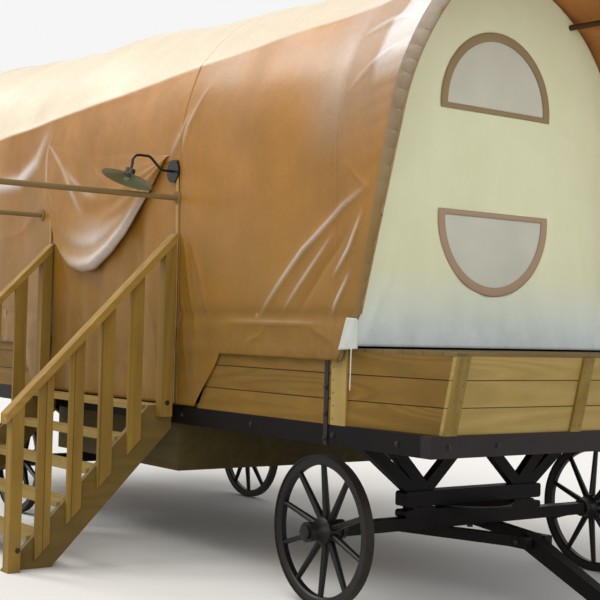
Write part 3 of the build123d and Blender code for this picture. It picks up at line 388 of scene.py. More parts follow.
@dataclass(frozen=True)
class TimberFinish:
    """Sawn or planed softwood, with a tint of its own on each board: light, dark and knot colours."""

    name: str
    wood: tuple[Screen, Screen, Screen]
    grain: Grain
    cell: Place
    start: Place = (0.0, 0.0, 0.0)
    knots: float = 0.9
    figure: float = 0.6
    roughness: float = 0.6
    dust_reach: float = 0.5

    def build(self) -> Material:
        """Make the material.

        Returns:
            The new material.
        """
        material, w, shader, place = new_material(self.name)
        light, dark, knot = (colour(screen) for screen in self.wood)
        start = tuple(to_frame(self.start).tolist())
        boards = w.group(board_cells, {"Vector": place, "Cell": self.cell, "Start": start})
        stretched = w.vector("MULTIPLY", boards["Shifted"], self.grain.value)
        grain = w.group(timber_grain, {"Vector": stretched, "Knots": self.knots})
        dust = w.group(road_dust, {"Vector": place, "Reach": self.dust_reach})["Dust"]
        wear_and_highlight = w.group(edge_wear, {"Vector": place, "Width": 0.004})["Worn"]
        final = w.layers(light, (w.spread(grain["Figure"], 0.25, 0.75, 0.0, self.figure), dark),
                         (w.spread(boards["Tint"], 0.0, 1.0, 0.0, 0.45), dark),
                         (w.patches(place, 3.0, 6.0, 0.65, 0.35, 0.72, 0.0, 0.35), dark),
                         (grain["Knot"], knot),
                         (w.patches(place, 2.4, 6.0, 0.65, 0.4, 0.8, 0.0, 0.22), colour(GREYED)),
                         (w.math("MULTIPLY", dust, 0.5), colour(TIMBER_DUST)),
                         (w.math("MULTIPLY", wear_and_highlight, 0.3), light),
                         (w.math("MULTIPLY", boards["Joint"], 0.75), knot))
        rough = w.spread(grain["Figure"], 0.0, 1.0, self.roughness - 0.1, self.roughness + 0.14)
        w.join(shader, {"Base Color": final, "Roughness": rough, "Specular IOR Level": 0.22})
        w.bump(shader, grain["Height"], 0.0012)
        return material


@dataclass(frozen=True)
class PaintFinish:
    """Paint on timber or iron, chipped at the edges and dusty low down, with a cap of another colour."""

    name: str
    paint: Screen
    under: Screen
    roughness: float = 0.45
    metal: float = 0.0
    wear: float = 0.6
    dust_reach: float = 0.9
    dust: float = 0.35
    shine: float = 0.4
    grain: Grain | None = None
    cap: Screen | None = None
    cap_centre: Place = (0.0, 0.0, 0.0)
    cap_reach: float = 0.042

    def build(self) -> Material:
        """Make the material.

        Returns:
            The new material.
        """
        material, w, shader, place = new_material(self.name)
        paint, under = colour(self.paint), colour(self.under)
        if self.cap is not None:
            centre = tuple(to_frame(self.cap_centre).tolist())
            gap = w.add("VectorMath", {0: place, 1: centre}, operation="DISTANCE").outputs["Value"]
            paint = w.mix(w.spread(gap, self.cap_reach, self.cap_reach + 0.0005), colour(self.cap), paint)
        wear_and_highlight = w.group(edge_wear, {"Vector": place, "Width": 0.005})["Worn"]
        dust = w.group(road_dust, {"Vector": place, "Reach": self.dust_reach})["Dust"]
        share = w.math("MULTIPLY", dust, self.dust)
        final = w.layers(paint, (w.patches(place, 7.0, 6.0, 0.6, 0.3, 0.75, 0.0, 0.4), under),
                         (w.math("MULTIPLY", wear_and_highlight, self.wear), under), (share, colour(PAINT_DUST)))
        rough = w.spread(share, 0.0, 0.5, self.roughness, self.roughness + 0.3)
        w.join(shader, {"Base Color": final, "Roughness": rough, "Metallic": self.metal,
                        "Specular IOR Level": self.shine})
        if self.grain is None:
            w.bump(shader, w.noise(place, 90.0, 4.0, 0.6), 0.0006)
        else:
            stretched = w.vector("MULTIPLY", place, self.grain.value)
            w.bump(shader, w.group(timber_grain, {"Vector": stretched, "Knots": 0.3})["Height"], 0.0012)
        return material


@dataclass(frozen=True)
class CoatedClothFinish:
    """Coated cover cloth: a low gloss over a fine weave, with soft clouds of colour.

    Its body colour turns to the high one up the cloth: partly grime low down, partly painted light
    falling from above. Above the shoulder line the crown colour, a painted sunlit highlight, takes over,
    and where a piece says so its pale attribute lays on the pale colour as a painted highlight.
    """

    name: str
    body: Screen
    deep: Screen
    high: Screen
    grub: Screen = (88, 64, 26)
    crown: Screen | None = None
    pale: Screen | None = None
    change: tuple[float, float] = (1.5, 3.3)
    gloss: float = 0.1
    roughness: float = 0.5
    threads: float = 1400.0

    def build(self) -> Material:
        """Make the material.

        Returns:
            The new material.
        """
        material, w, shader, place = new_material(self.name)
        tone = w.group(cloth_tone, {"Vector": place})
        parts = w.parts(place)
        # Lighter colour up the cloth: partly painted light from above, partly grime low down.
        ground = w.mix(w.spread(parts["Z"], *self.change), colour(self.body), colour(self.high))
        body = w.mix(w.spread(tone["Tone"], 0.36, 0.66, 0.0, 0.7), ground, colour(self.deep))
        # Painted sunlit highlight: above the shoulder line the crown colour is mixed in on the top of the
        # cover.
        if self.crown is not None:
            over = w.math("SUBTRACT", parts["Z"], w.math("MULTIPLY", parts["X"], SHOULDER_FALL))
            level = float(SHOULDER_TOP + WAGON_ORIGIN[2] - SHOULDER_FALL * WAGON_ORIGIN[0])
            patchy = w.patches(place, 2.2, 5.0, 0.6, 0.3, 0.7, 0.80, 1.0)
            share = w.math("MULTIPLY", w.spread(over, level - 0.012, level + 0.012), patchy)
            body = w.mix(share, body, colour(self.crown))
        # Painted highlight: the pale attribute mixes in the pale colour where folds, bonnets and the swag
        # would catch the light.
        if self.pale is not None:
            streak = w.add("Attribute", attribute_name="pale").outputs["Fac"]
            body = w.mix(w.math("MULTIPLY", streak, 1.0, clamp=True), body, colour(self.pale))
        flecked = w.mix(w.patches(place, 38.0, 4.0, 0.6, 0.3, 0.7, 0.0, 0.14), body, colour(self.grub))
        final = w.mix(w.math("MULTIPLY", tone["Grub"], 0.4), flecked, colour(self.grub))
        rough = w.spread(tone["Tone"], 0.3, 0.7, self.roughness - 0.06, self.roughness + 0.12)
        w.join(shader, {"Base Color": final, "Roughness": rough, "Specular IOR Level": 0.12,
                        "Coat Weight": self.gloss, "Coat Roughness": 0.3})
        fine = w.math("MULTIPLY", w.noise(place, 16.0, 5.0, 0.6), 0.25)
        soft = w.math("ADD", w.noise(place, 5.0, 4.0, 0.55), fine)
        w.bump(shader, w.math("ADD", w.threads(self.threads, 0.05), soft), 0.006)
        return material


@dataclass(frozen=True)
class CanvasFinish:
    """Plain cotton canvas, matt, with visible threads, and of another colour low down."""

    name: str
    body: Screen
    deep: Screen
    low: Screen
    low_from: float = 1.45
    low_to: float = 2.1
    threads: float = 900.0
    grub: float = 0.3

    def build(self) -> Material:
        """Make the material.

        Returns:
            The new material.
        """
        material, w, shader, place = new_material(self.name)
        tone = w.group(cloth_tone, {"Vector": place})
        low = w.spread(w.parts(place)["Z"], self.low_from, self.low_to, 0.85, 0.0)
        grubby = w.math("MULTIPLY", tone["Grub"], self.grub)
        final = w.layers(colour(self.body), (w.spread(tone["Tone"], 0.34, 0.66), colour(self.deep)),
                         (low, colour(self.low)), (grubby, colour(CANVAS_GRUB)))
        w.join(shader, {"Base Color": final, "Roughness": 0.88, "Sheen Weight": 0.15})
        w.bump(shader, w.math("ADD", w.threads(self.threads, 0.35), w.noise(place, 16.0, 5.0, 0.6)), 0.0016)
        return material


@dataclass(frozen=True)
class WindowMeshFinish:
    """Fine woven window mesh over a pale lining."""

    name: str
    thread: Screen
    gap: Screen

    def build(self) -> Material:
        """Make the material.

        Returns:
            The new material.
        """
        material, w, shader, place = new_material(self.name)
        parts = w.parts(place)
        flat = w.add("CombineXYZ", {0: parts["Y"], 1: parts["Z"], 2: 0.0}).outputs[0]
        cloth = w.group(weave, {"Vector": flat, "Threads": 1250.0})
        clouds = w.patches(place, 3.0, 4.0, 0.55, 0.35, 0.7, 0.0, 0.5)
        thread = w.mix(clouds, colour(self.thread), colour(self.gap))
        final = w.mix(w.spread(cloth["Holes"], 0.55, 0.95), thread, colour(self.gap))
        w.join(shader, {"Base Color": final, "Roughness": 0.6})
        w.bump(shader, cloth["Height"], 0.0008)
        return material


@dataclass(frozen=True)
class GlassFinish:
    """Frosted lamp glass."""

    name: str

    def build(self) -> Material:
        """Make the material.

        Returns:
            The new material.
        """
        material, w, shader, place = new_material(self.name)
        haze = w.mix(w.noise(place, 40.0, 3.0), colour((150, 152, 132)), colour((120, 124, 106)))
        w.join(shader, {"Base Color": haze, "Roughness": 0.18, "Transmission Weight": 0.35})
        w.bump(shader, w.noise(place, 120.0, 3.0), 0.0003)
        return material


def grid_faces(rows: int, columns: int, ring_rows: bool = False, ring_columns: bool = False,
               flip: bool = False) -> Array:
    """Number the four-sided faces of a grid of points.

    Args:
        rows: Points along the first axis.
        columns: Points along the second axis.
        ring_rows: Whether the first axis closes on itself.
        ring_columns: Whether the second axis closes on itself.
        flip: Whether the faces are turned to the other side.

    Returns:
        One row of four point numbers for each face.
    """
    i = np.arange(rows if ring_rows else rows - 1)
    j = np.arange(columns if ring_columns else columns - 1)
    a, b = np.meshgrid(i, j, indexing="ij")
    a2, b2 = (a + 1) % rows, (b + 1) % columns
    numbers = stacked(a * columns + b, a2 * columns + b, a2 * columns + b2, a * columns + b2)
    return numbers.reshape(-1, 4)[:, ::-1 if flip else 1]


def mesh_piece(name: str, points: Array, faces: Array | list, material: Material, cut: Array | None = None,
               smooth: bool = True) -> Piece:
    """Put points and faces into a mesh object at the origin.

    Args:
        name: The piece's name.
        points: Points in the wagon's measure, in a list or a grid.
        faces: Point numbers of each face.
        material: The piece's material.
        cut: Flat cloth places in metres, one for each point, kept as the UV map "cut".
        smooth: Whether its faces are shaded smooth.

    Returns:
        The new object.
    """
    points = np.asarray(points).reshape(-1, 3)
    mesh = bpy.data.meshes.new(name)
    mesh.from_pydata(to_frame(points).tolist(), [], faces.tolist() if isinstance(faces, Array) else faces)
    mesh.materials.append(material)
    mesh.polygons.foreach_set("use_smooth", np.full(len(mesh.polygons), smooth))
    corners = np.zeros(len(mesh.loops), np.int32)
    mesh.loops.foreach_get("vertex_index", corners)
    flat = points[:, :2] if cut is None else cut.reshape(-1, 2)
    mesh.uv_layers.new(name="cut").data.foreach_set("uv", np.asarray(flat, np.float32)[corners].ravel())
    mesh.update()
    piece = bpy.data.objects.new(name, mesh)
    bpy.context.scene.collection.objects.link(piece)
    return piece


def unit(vectors: Array) -> Array:
    """Give each vector of an array a length of one."""
    return vectors / np.maximum(np.linalg.norm(vectors, axis=-1, keepdims=True), 1e-9)


def ramp(value: Array, start: float | Array, width: float) -> Array:
    """Rise from 0 at the start to 1 a width further on, and stay level outside."""
    return np.clip((value - start) / width, 0.0, 1.0)


def bell(value: Array, middle: float | Array, width: float) -> Array:
    """A bell: e to the power of minus the square of the distance from its middle over its width."""
    return np.exp(-(((value - middle) / width) ** 2))


def travelled(path: Array) -> Array:
    """How far along a path each of its points lies."""
    return np.concatenate([[0.0], np.linalg.norm(np.diff(path, axis=0), axis=1).cumsum()])


def stacked(*numbers: Array) -> Array:
    """Set numbers beside each other at each point of a grid, along a last axis."""
    return np.stack(np.broadcast_arrays(*numbers), axis=-1)


def outward(base: Array) -> Array:
    """Normals of a cover grid, turned to point away from the wagon's inside.

    A normal is the cross product of the grid's slopes along both axes.

    Args:
        base: A grid of points round the wagon.

    Returns:
        A normal for each point.
    """
    normals = unit(np.cross(np.gradient(base, axis=0), np.gradient(base, axis=1)))
    away = base - np.array([0.0, 0.0, 2.4])
    away[..., 0] = 0.0
    flip = np.sign((normals * away).sum(-1, keepdims=True))
    return normals * np.where(flip == 0, 1.0, flip)


def face_areas(points: Array, faces: Array) -> Array:
    """Area of each four-sided face: half the length of the cross product of its diagonals."""
    corners = points.reshape(-1, 3)[faces]
    return np.linalg.norm(np.cross(corners[:, 2] - corners[:, 0], corners[:, 3] - corners[:, 1]), axis=1) / 2


def carried(name: str, path: Array, across: Array, profile: Array, material: Material) -> Piece:
    """Carry a closed profile along a path.

    Each point is the path's point, plus the profile's first number times the direction across,
    plus its second number times the direction square to both the path and that.

    Args:
        name: The piece's name.
        path: Points of the path, in the wagon's measure.
        across: A direction across the path.
        profile: Closed outline, either one or one for each point of the path.
        material: The piece's material.

    Returns:
        The new object, with flat ends.
    """
    count = len(path)
    along = unit(np.gradient(path, axis=0))
    side = np.broadcast_to(np.asarray(across, float), path.shape)
    side = unit(side - (side * along).sum(-1, keepdims=True) * along)
    outline = np.broadcast_to(profile, (count, *profile.shape[-2:]))
    rise = np.cross(along, side)[:, None]
    points = path[:, None] + outline[..., :1] * side[:, None] + outline[..., 1:] * rise
    width = outline.shape[1]
    faces = grid_faces(count, width, ring_columns=True).tolist()
    faces.append(list(range(width)))
    faces.append(list(range(count * width - 1, (count - 1) * width - 1, -1)))
    round_it = np.linspace(0.0, 1.0, width) * np.abs(outline).max() * 4
    return mesh_piece(name, points, faces, material, stacked(travelled(path)[:, None], round_it[None, :]))


def oval(width: float, height: float, count: int) -> Array:
    """An oval outline, turned so that a carried piece faces outwards."""
    turn = np.linspace(0.0, 2 * math.pi, count, endpoint=False)
    return stacked(np.cos(turn) * width / 2, np.sin(turn) * height / 2)


def joined(name: str, parts: list[Piece]) -> Piece:
    """Join several objects into one.

    Args:
        name: The joined piece's name.
        parts: The objects.

    Returns:
        The first of them, which now holds them all.
    """
    bpy.ops.object.select_all(action="DESELECT")
    for part in parts:
        part.select_set(True)
    bpy.context.view_layer.objects.active = parts[0]
    bpy.ops.object.join()
    parts[0].name = parts[0].data.name = name
    return parts[0]


def thicken(piece: Piece, thickness: float, lining: Material | None = None) -> None:
    """Give a sheet its thickness, inwards from its face.

    Args:
        piece: The sheet.
        thickness: How thick it is.
        lining: A finish of its own for the inner side.
    """
    solid = piece.modifiers.new("thickness", "SOLIDIFY")
    solid.thickness = thickness
    solid.offset = -1.0
    solid.use_even_offset = False
    if lining is not None:
        piece.data.materials.append(lining)
        solid.material_offset = 1


def paint_highlight(piece: Piece, share: Array) -> None:
    """Write the share of painted highlight on each point of a piece, as its pale attribute."""
    layer = piece.data.attributes.new("pale", "FLOAT", "POINT")
    layer.data.foreach_set("value", np.ascontiguousarray(share, dtype=np.float32).ravel())


def settle(piece: Piece, slot: str, *stands_for: str) -> None:
    """Let a piece ride on the wagon's body.

    Args:
        piece: The piece.
        slot: A material slot's name; not used.
        stands_for: The solids that it stands for.
    """
    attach(piece, ROOT)
    if stands_for:
        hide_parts(*stands_for)
    log.info("%s", piece.name)


def nearest_on_line(x: Array, z: Array, line: Sequence[tuple[float, float]]) -> tuple[Array, Array]:
    """Measure points against a bent line.

    Args:
        x: Places along the wagon.
        z: Heights.
        line: The line's corners, as place and height.

    Returns:
        The distance to the line, and how far along it the nearest point lies, 0 to 1.
    """
    corners = np.asarray(line, float)
    starts = travelled(corners)
    best, share = np.full(x.shape, 1e9), np.zeros(x.shape)
    for first, second, start, end in zip(corners, corners[1:], starts, starts[1:]):
        step = (second - first) / np.linalg.norm(second - first)
        along = np.clip((x - first[0]) * step[0] + (z - first[1]) * step[1], 0.0, end - start)
        gap = np.hypot(x - first[0] - along * step[0], z - first[1] - along * step[1])
        share = np.where(gap < best, (start + along) / starts[-1], share)
        best = np.minimum(gap, best)
    return best, share


@dataclass(frozen=True)
class Crease:
    """A fold in the cloth: a bent line on the wagon's side, its width and its height."""

    line: tuple[tuple[float, float], ...]
    width: float
    height: float
    sharp: bool = True
    # wear_and_highlight sets how strong a painted highlight is laid along the fold.
    wear_and_highlight: float = 0.0

    def fade(self, share: Array) -> Array:
        """How strong the fold is along its line: it dies out at both ends."""
        return np.clip(np.sin(np.pi * np.clip(share, 0.02, 0.98)), 0.0, 1.0)

    def lift(self, x: Array, z: Array) -> Array:
        """Height of the fold: it falls away with distance and dies out at both ends.

        Args:
            x: Places along the wagon.
            z: Heights.

        Returns:
            A height for each place.
        """
        gap, share = nearest_on_line(x, z, self.line)
        shape = np.exp(-gap / self.width) if self.sharp else bell(gap, 0.0, self.width)
        return self.height * shape * self.fade(share) ** 0.6

    def pale(self, x: Array, z: Array) -> Array:
        """Painted highlight along the fold, where it catches the light: a narrow bell."""
        gap, share = nearest_on_line(x, z, self.line)
        return self.wear_and_highlight * bell(gap, 0.0, 0.7 * self.width) * self.fade(share)


@dataclass(frozen=True)
class ArchSection:
    """One arch of the cover: its place at the hem, its spring line, its lean and its radius."""

    x: float
    spring: float
    lean: float = 0.0
    radius: float = COVER_RADIUS


def spring_line(x: Array, sections: Sequence[ArchSection]) -> Array:
    """Height of the spring line at places along the wagon, on lines between its sections."""
    return np.interp(-x, [-s.x for s in sections], [s.spring for s in sections])


def round_arch(share: Array, radius: float) -> tuple[Array, Array, Array, Array]:
    """Find places round an arch, from the near hem over the crown to the far hem.

    Each leg is a straight line from the hem to the spring line. Between them the arch is half an
    oval: Y is the radius times the cosine, and the rise is a radius times the sine.

    Args:
        share: Places round it, 0 to 1.
        radius: The arch's radius across the wagon.

    Returns:
        Whether each is on the half oval, its share of the way up a leg, the sine of its turn, and Y.
    """
    on_leg = np.minimum(ramp(share, 0.0, LEG_SHARE), ramp(share, 1.0, -LEG_SHARE))
    turn = ramp(share, LEG_SHARE, 1 - 2 * LEG_SHARE) * math.pi
    arc = (share > LEG_SHARE) & (share < 1 - LEG_SHARE)
    leg_y = np.where(share < 0.5, NEAR, FAR) * (HEM_HALF + (radius - HEM_HALF) * on_leg)
    return arc, on_leg, np.sin(turn), np.where(arc, -radius * np.cos(turn), leg_y)


@dataclass
class Cover:
    """The coated cloth cover: two bonnets, the main sheets, seams, edge bands and hem."""

    cloth: Material
    lining: Material
    band: Material
    front_hoop: ArchSection = ArchSection(0.148, 2.760, 19.0, 1.150)
    front_seam: ArchSection = ArchSection(0.018, 2.668)
    door_front: ArchSection = ArchSection(-1.660, 2.745)
    door_rear: ArchSection = ArchSection(-3.660, 2.810)
    rear_seam: ArchSection = ArchSection(-6.020, 2.985)
    rear_hoop: ArchSection = ArchSection(-6.158, 3.000, -19.0, 1.150)
    thickness: float = 0.0025
    tape_thickness: float = 0.0015
    door_share: float = 0.95
    door_inset: float = 0.04
    front_slant: tuple[float, float] = (-1.445, -1.165)
    rear_slant: tuple[float, float] = (-4.155, -3.875)
    sag: float = 0.012
    slack: float = 0.011
    hem_ripple: float = 0.006
    rise_at_door: float = 0.055
    shoulder: float = 0.020
    pleat: float = 0.006
    rear_mirror: float = -6.12
    bow_places: tuple[float, ...] = (0.115, -0.747, -1.61, -3.71, -4.525, -5.34, -6.12)
    corner_folds: tuple[Crease, ...] = (
        Crease(((0.33, 2.36), (0.09, 2.26), (-0.29, 2.03), (-0.51, 1.84), (-0.74, 1.63)), 0.018, 0.024,
               wear_and_highlight=0.8),
        Crease(((0.27, 2.22), (0.146, 2.02), (0.0, 1.87)), 0.014, 0.019, wear_and_highlight=1.0),
        Crease(((0.16, 1.89), (-0.02, 1.65)), 0.014, 0.017, wear_and_highlight=0.8),
        Crease(((0.10, 2.50), (0.22, 2.40), (0.33, 2.33)), 0.012, 0.016),
        Crease(((0.56, 3.30), (0.32, 3.44), (0.06, 3.56)), 0.020, 0.026),
        Crease(((0.54, 3.26), (0.30, 3.26), (0.04, 3.22)), 0.022, 0.018, wear_and_highlight=0.6),
        Crease(((0.50, 3.10), (0.30, 3.02), (0.10, 2.90)), 0.020, 0.014, wear_and_highlight=0.4),
        Crease(((0.14, 2.12), (-0.1, 1.92), (-0.34, 1.66)), 0.03, -0.018),
        Crease(((0.0, 2.12), (-0.2, 1.94), (-0.5, 1.66)), 0.016, 0.010, wear_and_highlight=0.5),
        Crease(((-1.13, 1.60), (-0.6, 1.597), (-0.12, 1.598)), 0.020, 0.016),
        Crease(((-0.62, 1.60), (-0.72, 1.52), (-0.90, 1.47)), 0.016, 0.010),
        Crease(((-0.25, 1.60), (0.02, 1.50), (0.06, 1.44)), 0.018, 0.009),
    )
    door_folds: tuple[Crease, ...] = (
        Crease(((-1.62, 2.20), (-1.52, 1.80), (-1.40, 1.40)), 0.018, 0.014),
        Crease(((-1.60, 2.30), (-1.40, 1.88), (-1.25, 1.44)), 0.022, 0.012),
        Crease(((-1.66, 1.95), (-1.60, 1.60), (-1.52, 1.12)), 0.016, 0.011),
        Crease(((-1.60, 2.98), (-1.68, 2.84), (-1.80, 2.70)), 0.020, 0.018, wear_and_highlight=0.5),
        Crease(((-1.46, 3.14), (-1.60, 2.90), (-1.66, 2.72)), 0.018, 0.014, wear_and_highlight=0.6),
        Crease(((-3.27, 3.01), (-2.92, 2.71), (-2.62, 2.53)), 0.035, 0.016),
        Crease(((-3.35, 2.90), (-3.10, 2.60), (-2.98, 2.42)), 0.03, 0.010),
        Crease(((-3.70, 3.08), (-3.73, 2.80), (-3.69, 2.45)), 0.018, 0.016, wear_and_highlight=0.7),
        Crease(((-3.74, 3.12), (-3.92, 2.86), (-4.25, 2.72), (-5.0, 2.70)), 0.07, 0.020, False, wear_and_highlight=1.2),
        Crease(((-3.80, 2.50), (-4.2, 2.30), (-4.7, 2.25)), 0.04, 0.012),
    )

    def free_edge(self, hoop: ArchSection, share: Array) -> Array:
        """Find a bonnet's free edge.

        The arch of the hoop lies on a plane that leans about the hem line, with its crown
        stretched by the lean. Its lowest part runs straight back to the hem.

        Args:
            hoop: The hoop that carries the bonnet.
            share: Places round it, 0 to 1.

        Returns:
            A point for each place.
        """
        lean = math.radians(hoop.lean)
        arc, on_leg, sine, y = round_arch(share, hoop.radius)
        leg = (hoop.spring - HEM) / math.cos(lean)
        v = np.where(arc, leg + hoop.radius / math.cos(lean) * sine, leg * on_leg)
        edge = stacked(hoop.x + v * math.sin(lean), y, HEM + v * math.cos(lean))
        tip_x = hoop.x + (TIP_TOP - HEM) * math.tan(lean)
        back_x = hoop.x - math.copysign(TIP_BACK, hoop.lean)
        low = edge[:, 2] < TIP_TOP
        edge[low, 0] = back_x + (tip_x - back_x) * (edge[low, 2] - HEM) / (TIP_TOP - HEM)
        return edge

    def near_hem(self, x: Array) -> Array:
        """Height of the near hem: it drops beside the door along the plank walls' slanted ends.

        Args:
            x: Places along the wagon.

        Returns:
            A height for each place.
        """
        front = np.interp(x, self.front_slant, [DOOR_HEM, HEM])
        rear = np.interp(x, self.rear_slant, [HEM, DOOR_HEM])
        return np.where(x > DOOR_MIDDLE, front, rear)

    def base(self, x: Array, share: Array) -> Array:
        """Find the cover between its level sections: each point lies on the line between two arches.

        Args:
            x: Places along the wagon.
            share: Places round it, 0 to 1.

        Returns:
            A grid of points.
        """
        x_grid, share_grid = np.meshgrid(x, share, indexing="ij")
        spring = spring_line(x_grid, (self.front_seam, self.door_front, self.door_rear, self.rear_seam))
        arc, on_leg, sine, y = round_arch(share_grid, COVER_RADIUS)
        foot = np.where(share_grid < LEG_SHARE, self.near_hem(x_grid), HEM)
        z = np.where(arc, spring + COVER_RADIUS * sine, foot + (spring - foot) * on_leg)
        return stacked(x_grid, y, z)

    def waves(self, x: Array, round_it: Array) -> Array:
        """Soft slack in the cloth: a sum of sine waves with mixed lengths, directions and phases.

        Args:
            x: Places along the wagon.
            round_it: Places round the cover, in metres.

        Returns:
            A height for each place.
        """
        numbers = np.random.default_rng(RANDOM_SEED)
        total = np.zeros(x.shape)
        for _ in range(16):
            length = numbers.uniform(0.3, 1.1)
            turn = numbers.uniform(-0.5, 1.3)
            phase = numbers.uniform(0, 2 * math.pi)
            run = x * math.cos(turn) + round_it * math.sin(turn)
            total += np.sin(run * 2 * math.pi / length + phase) * length
        return total / 16

    def lift(self, points: Array, share: Array) -> Array:
        """How far the cloth stands off its base: sag between the bows, slack, folds, hem and shoulder.

        Args:
            points: Points of the base.
            share: Their places round the arch, 0 to 1.

        Returns:
            A height for each point, outwards.
        """
        x, y, z = points[..., 0], points[..., 1], points[..., 2]
        position = np.interp(-x, -np.array(self.bow_places), np.arange(len(self.bow_places)))
        low = np.clip(np.minimum(share, 1 - share) / LEG_SHARE, 0.25, 1.0)
        total = -self.sag * np.sin(np.pi * position) ** 2 * low
        total += self.slack * self.waves(x, share * 6.3) * np.clip(4.2 - z, 0.35, 1.0)
        ripple = np.sin(x * 31.0 + 1.7 * np.sin(x * 7.0)) * 0.5 + np.sin(x * 17.0 + 0.6) * 0.5
        total += self.hem_ripple * ripple * np.exp(-np.clip(z - HEM, 0.0, None) / 0.16)
        total += 0.007 * bell(z, 1.43, 0.05) - 0.012 * bell(z, 1.64, 0.045)
        for fold in self.door_folds:
            total += np.where(y < 0, fold.lift(x, z), 0.0)
        for fold in self.corner_folds:
            total += np.where(y < 0, fold.lift(x, z), 0.85 * fold.lift(1.03 * x + 0.02, z - 0.03))
            total += np.where(y < 0, 0.8, 0.9) * fold.lift(self.rear_mirror - x, z - 0.08)
        total += self.rise_at_door * bell(x, -3.30, 0.75) * ramp(z, 3.2, 0.5)
        return total + self.shoulder * np.exp(-np.abs(z - SHOULDER_TOP - SHOULDER_FALL * x) / 0.08)

    def pale(self, points: Array) -> Array:
        """Painted highlight share: along the folds, on the bonnets as painted sun glare past a fold line, and
        as a painted sky reflection beside the front seam.

        Args:
            points: Points of the cover's base.

        Returns:
            A share for each point, 0 to 1.
        """
        x, y, z = points[..., 0], points[..., 1], points[..., 2]
        streaks = np.where(y < 0, sum(fold.pale(x, z) for fold in self.door_folds), 0.0)
        for fold in self.corner_folds:
            streaks += np.where(y < 0, fold.pale(x, z), 0.8 * fold.pale(1.03 * x + 0.02, z - 0.03))
            streaks += 0.7 * fold.pale(self.rear_mirror - x, z - 0.08)
        # Painted sun glare on the bonnets: lighter up the bonnet, strongest past the fold line.
        bonnets = np.maximum(ramp(x, -0.05, 0.12), ramp(x, -5.95, -0.12)) ** 2
        over = z - SHOULDER_TOP - SHOULDER_FALL * x
        from_seam = np.maximum(x - self.front_seam.x, self.rear_seam.x - x)
        fold_line = 0.29 + 0.8 * np.clip(over + 0.25, 0, None)
        glare = ramp(from_seam, fold_line, 0.05) * ramp(over, -0.57, 0.22)
        bonnet_glare = bonnets * (0.22 * ramp(over, -0.95, 0.7) + 0.75 * glare)
        # Painted sky reflection on the main sheet just behind the front seam, high up.
        beside = 0.35 * bell(x, 0.05, 0.30) * (1 - bonnets)
        return np.clip(HIGHLIGHT_SHARE * streaks + bonnet_glare + beside * ramp(z, 2.5, 0.6), 0.0, 1.0)

    def sheet(self, name: str, x: Array, share: Array, stands_for: Sequence[str], door: bool = False) -> None:
        """Make one level sheet of the cover: its base, lifted outwards.

        Args:
            name: The piece's name.
            x: Places along the wagon, from front to rear.
            share: Places round the arch, 0 to 1.
            stands_for: The solids that it stands for.
            door: Whether the door's opening is cut from it.
        """
        base = self.base(x, share)
        share_grid = np.broadcast_to(share, base.shape[:2])
        points = base + outward(base) * self.lift(base, share_grid)[..., None]
        faces = grid_faces(len(x), len(share), flip=True)
        if door:
            place = points.reshape(-1, 3)[faces, 0].mean(axis=1)
            inside = share_grid.ravel()[faces].mean(axis=1) < self.door_share * LEG_SHARE
            inside &= place < self.door_front.x - self.door_inset
            inside &= place > self.door_rear.x + self.door_inset
            faces = faces[~inside]
        girth = float(travelled(base[len(x) // 2])[-1])
        piece = mesh_piece(name, points, faces, self.cloth, stacked(-base[..., 0], share_grid * girth))
        paint_highlight(piece, self.pale(base))
        thicken(piece, self.thickness, self.lining)
        settle(piece, "cover_cloth", *stands_for)

    def bonnet(self, name: str, seam: ArchSection, hoop: ArchSection, rounds: int, rows: int,
               node: str) -> None:
        """Make a bonnet: straight lines from the seam's arch to the hoop's free edge, with folds.

        Args:
            name: The piece's name.
            seam: The section at its seam.
            hoop: The hoop at its free edge.
            rounds: Points round it.
            rows: Points from seam to edge.
            node: The solid that it stands for.
        """
        share, step = np.linspace(0, 1, rounds), np.linspace(-0.02, 1.0, rows)
        first = self.base(np.array([seam.x]), share)[0]
        low = share < LEG_SHARE
        first[low, 2] = HEM + (seam.spring - HEM) * share[low] / LEG_SHARE
        last = self.free_edge(hoop, share)
        base = first[None] * (1 - step[:, None, None]) + last[None] * step[:, None, None]
        share_grid = np.broadcast_to(share, base.shape[:2])
        step_grid = np.broadcast_to(step[:, None], base.shape[:2])
        reached = np.clip(step_grid, 0, 1)
        crown = np.sin(np.pi * share_grid) ** 2
        radial = np.sin(share_grid * 60.0 + 2.0 * np.sin(share_grid * 23.0)) * 0.005
        radial += np.sin(share_grid * 27.0 + 1.0) * 0.006
        fine = np.abs(np.sin(share_grid * 118.0 + 3.0 * np.sin(share_grid * 31.0))) ** 0.5 * self.pleat
        radial += fine * reached**1.5 * (1.0 + 1.2 * crown)
        lift = self.lift(base, share_grid)
        lift = lift + radial * np.sin(np.pi * np.clip(step_grid * 0.9, 0, 1)) * (0.35 + crown)
        lift += 0.001 * (step_grid < 0.0)
        lift *= np.clip((1.02 - step_grid) / 0.12, 0.25, 1.0)
        points = base + outward(base) * lift[..., None]
        reach = np.linalg.norm(last - first, axis=1)
        girth = float(travelled(last)[-1])
        faces = grid_faces(rows, rounds, flip=hoop.x < seam.x)
        cut = stacked(step_grid * reach.mean(), share_grid * girth)
        piece = mesh_piece(name, points, faces, self.cloth, cut)
        # The painted highlight is taken away in the pleats' valleys: painted shade in the bonnet's creases.
        paint_highlight(piece, self.pale(base) * (1.0 - 70.0 * (self.pleat - fine) * reached * crown).clip(0, 1))
        thicken(piece, self.thickness, self.lining)
        settle(piece, "cover_cloth", node)

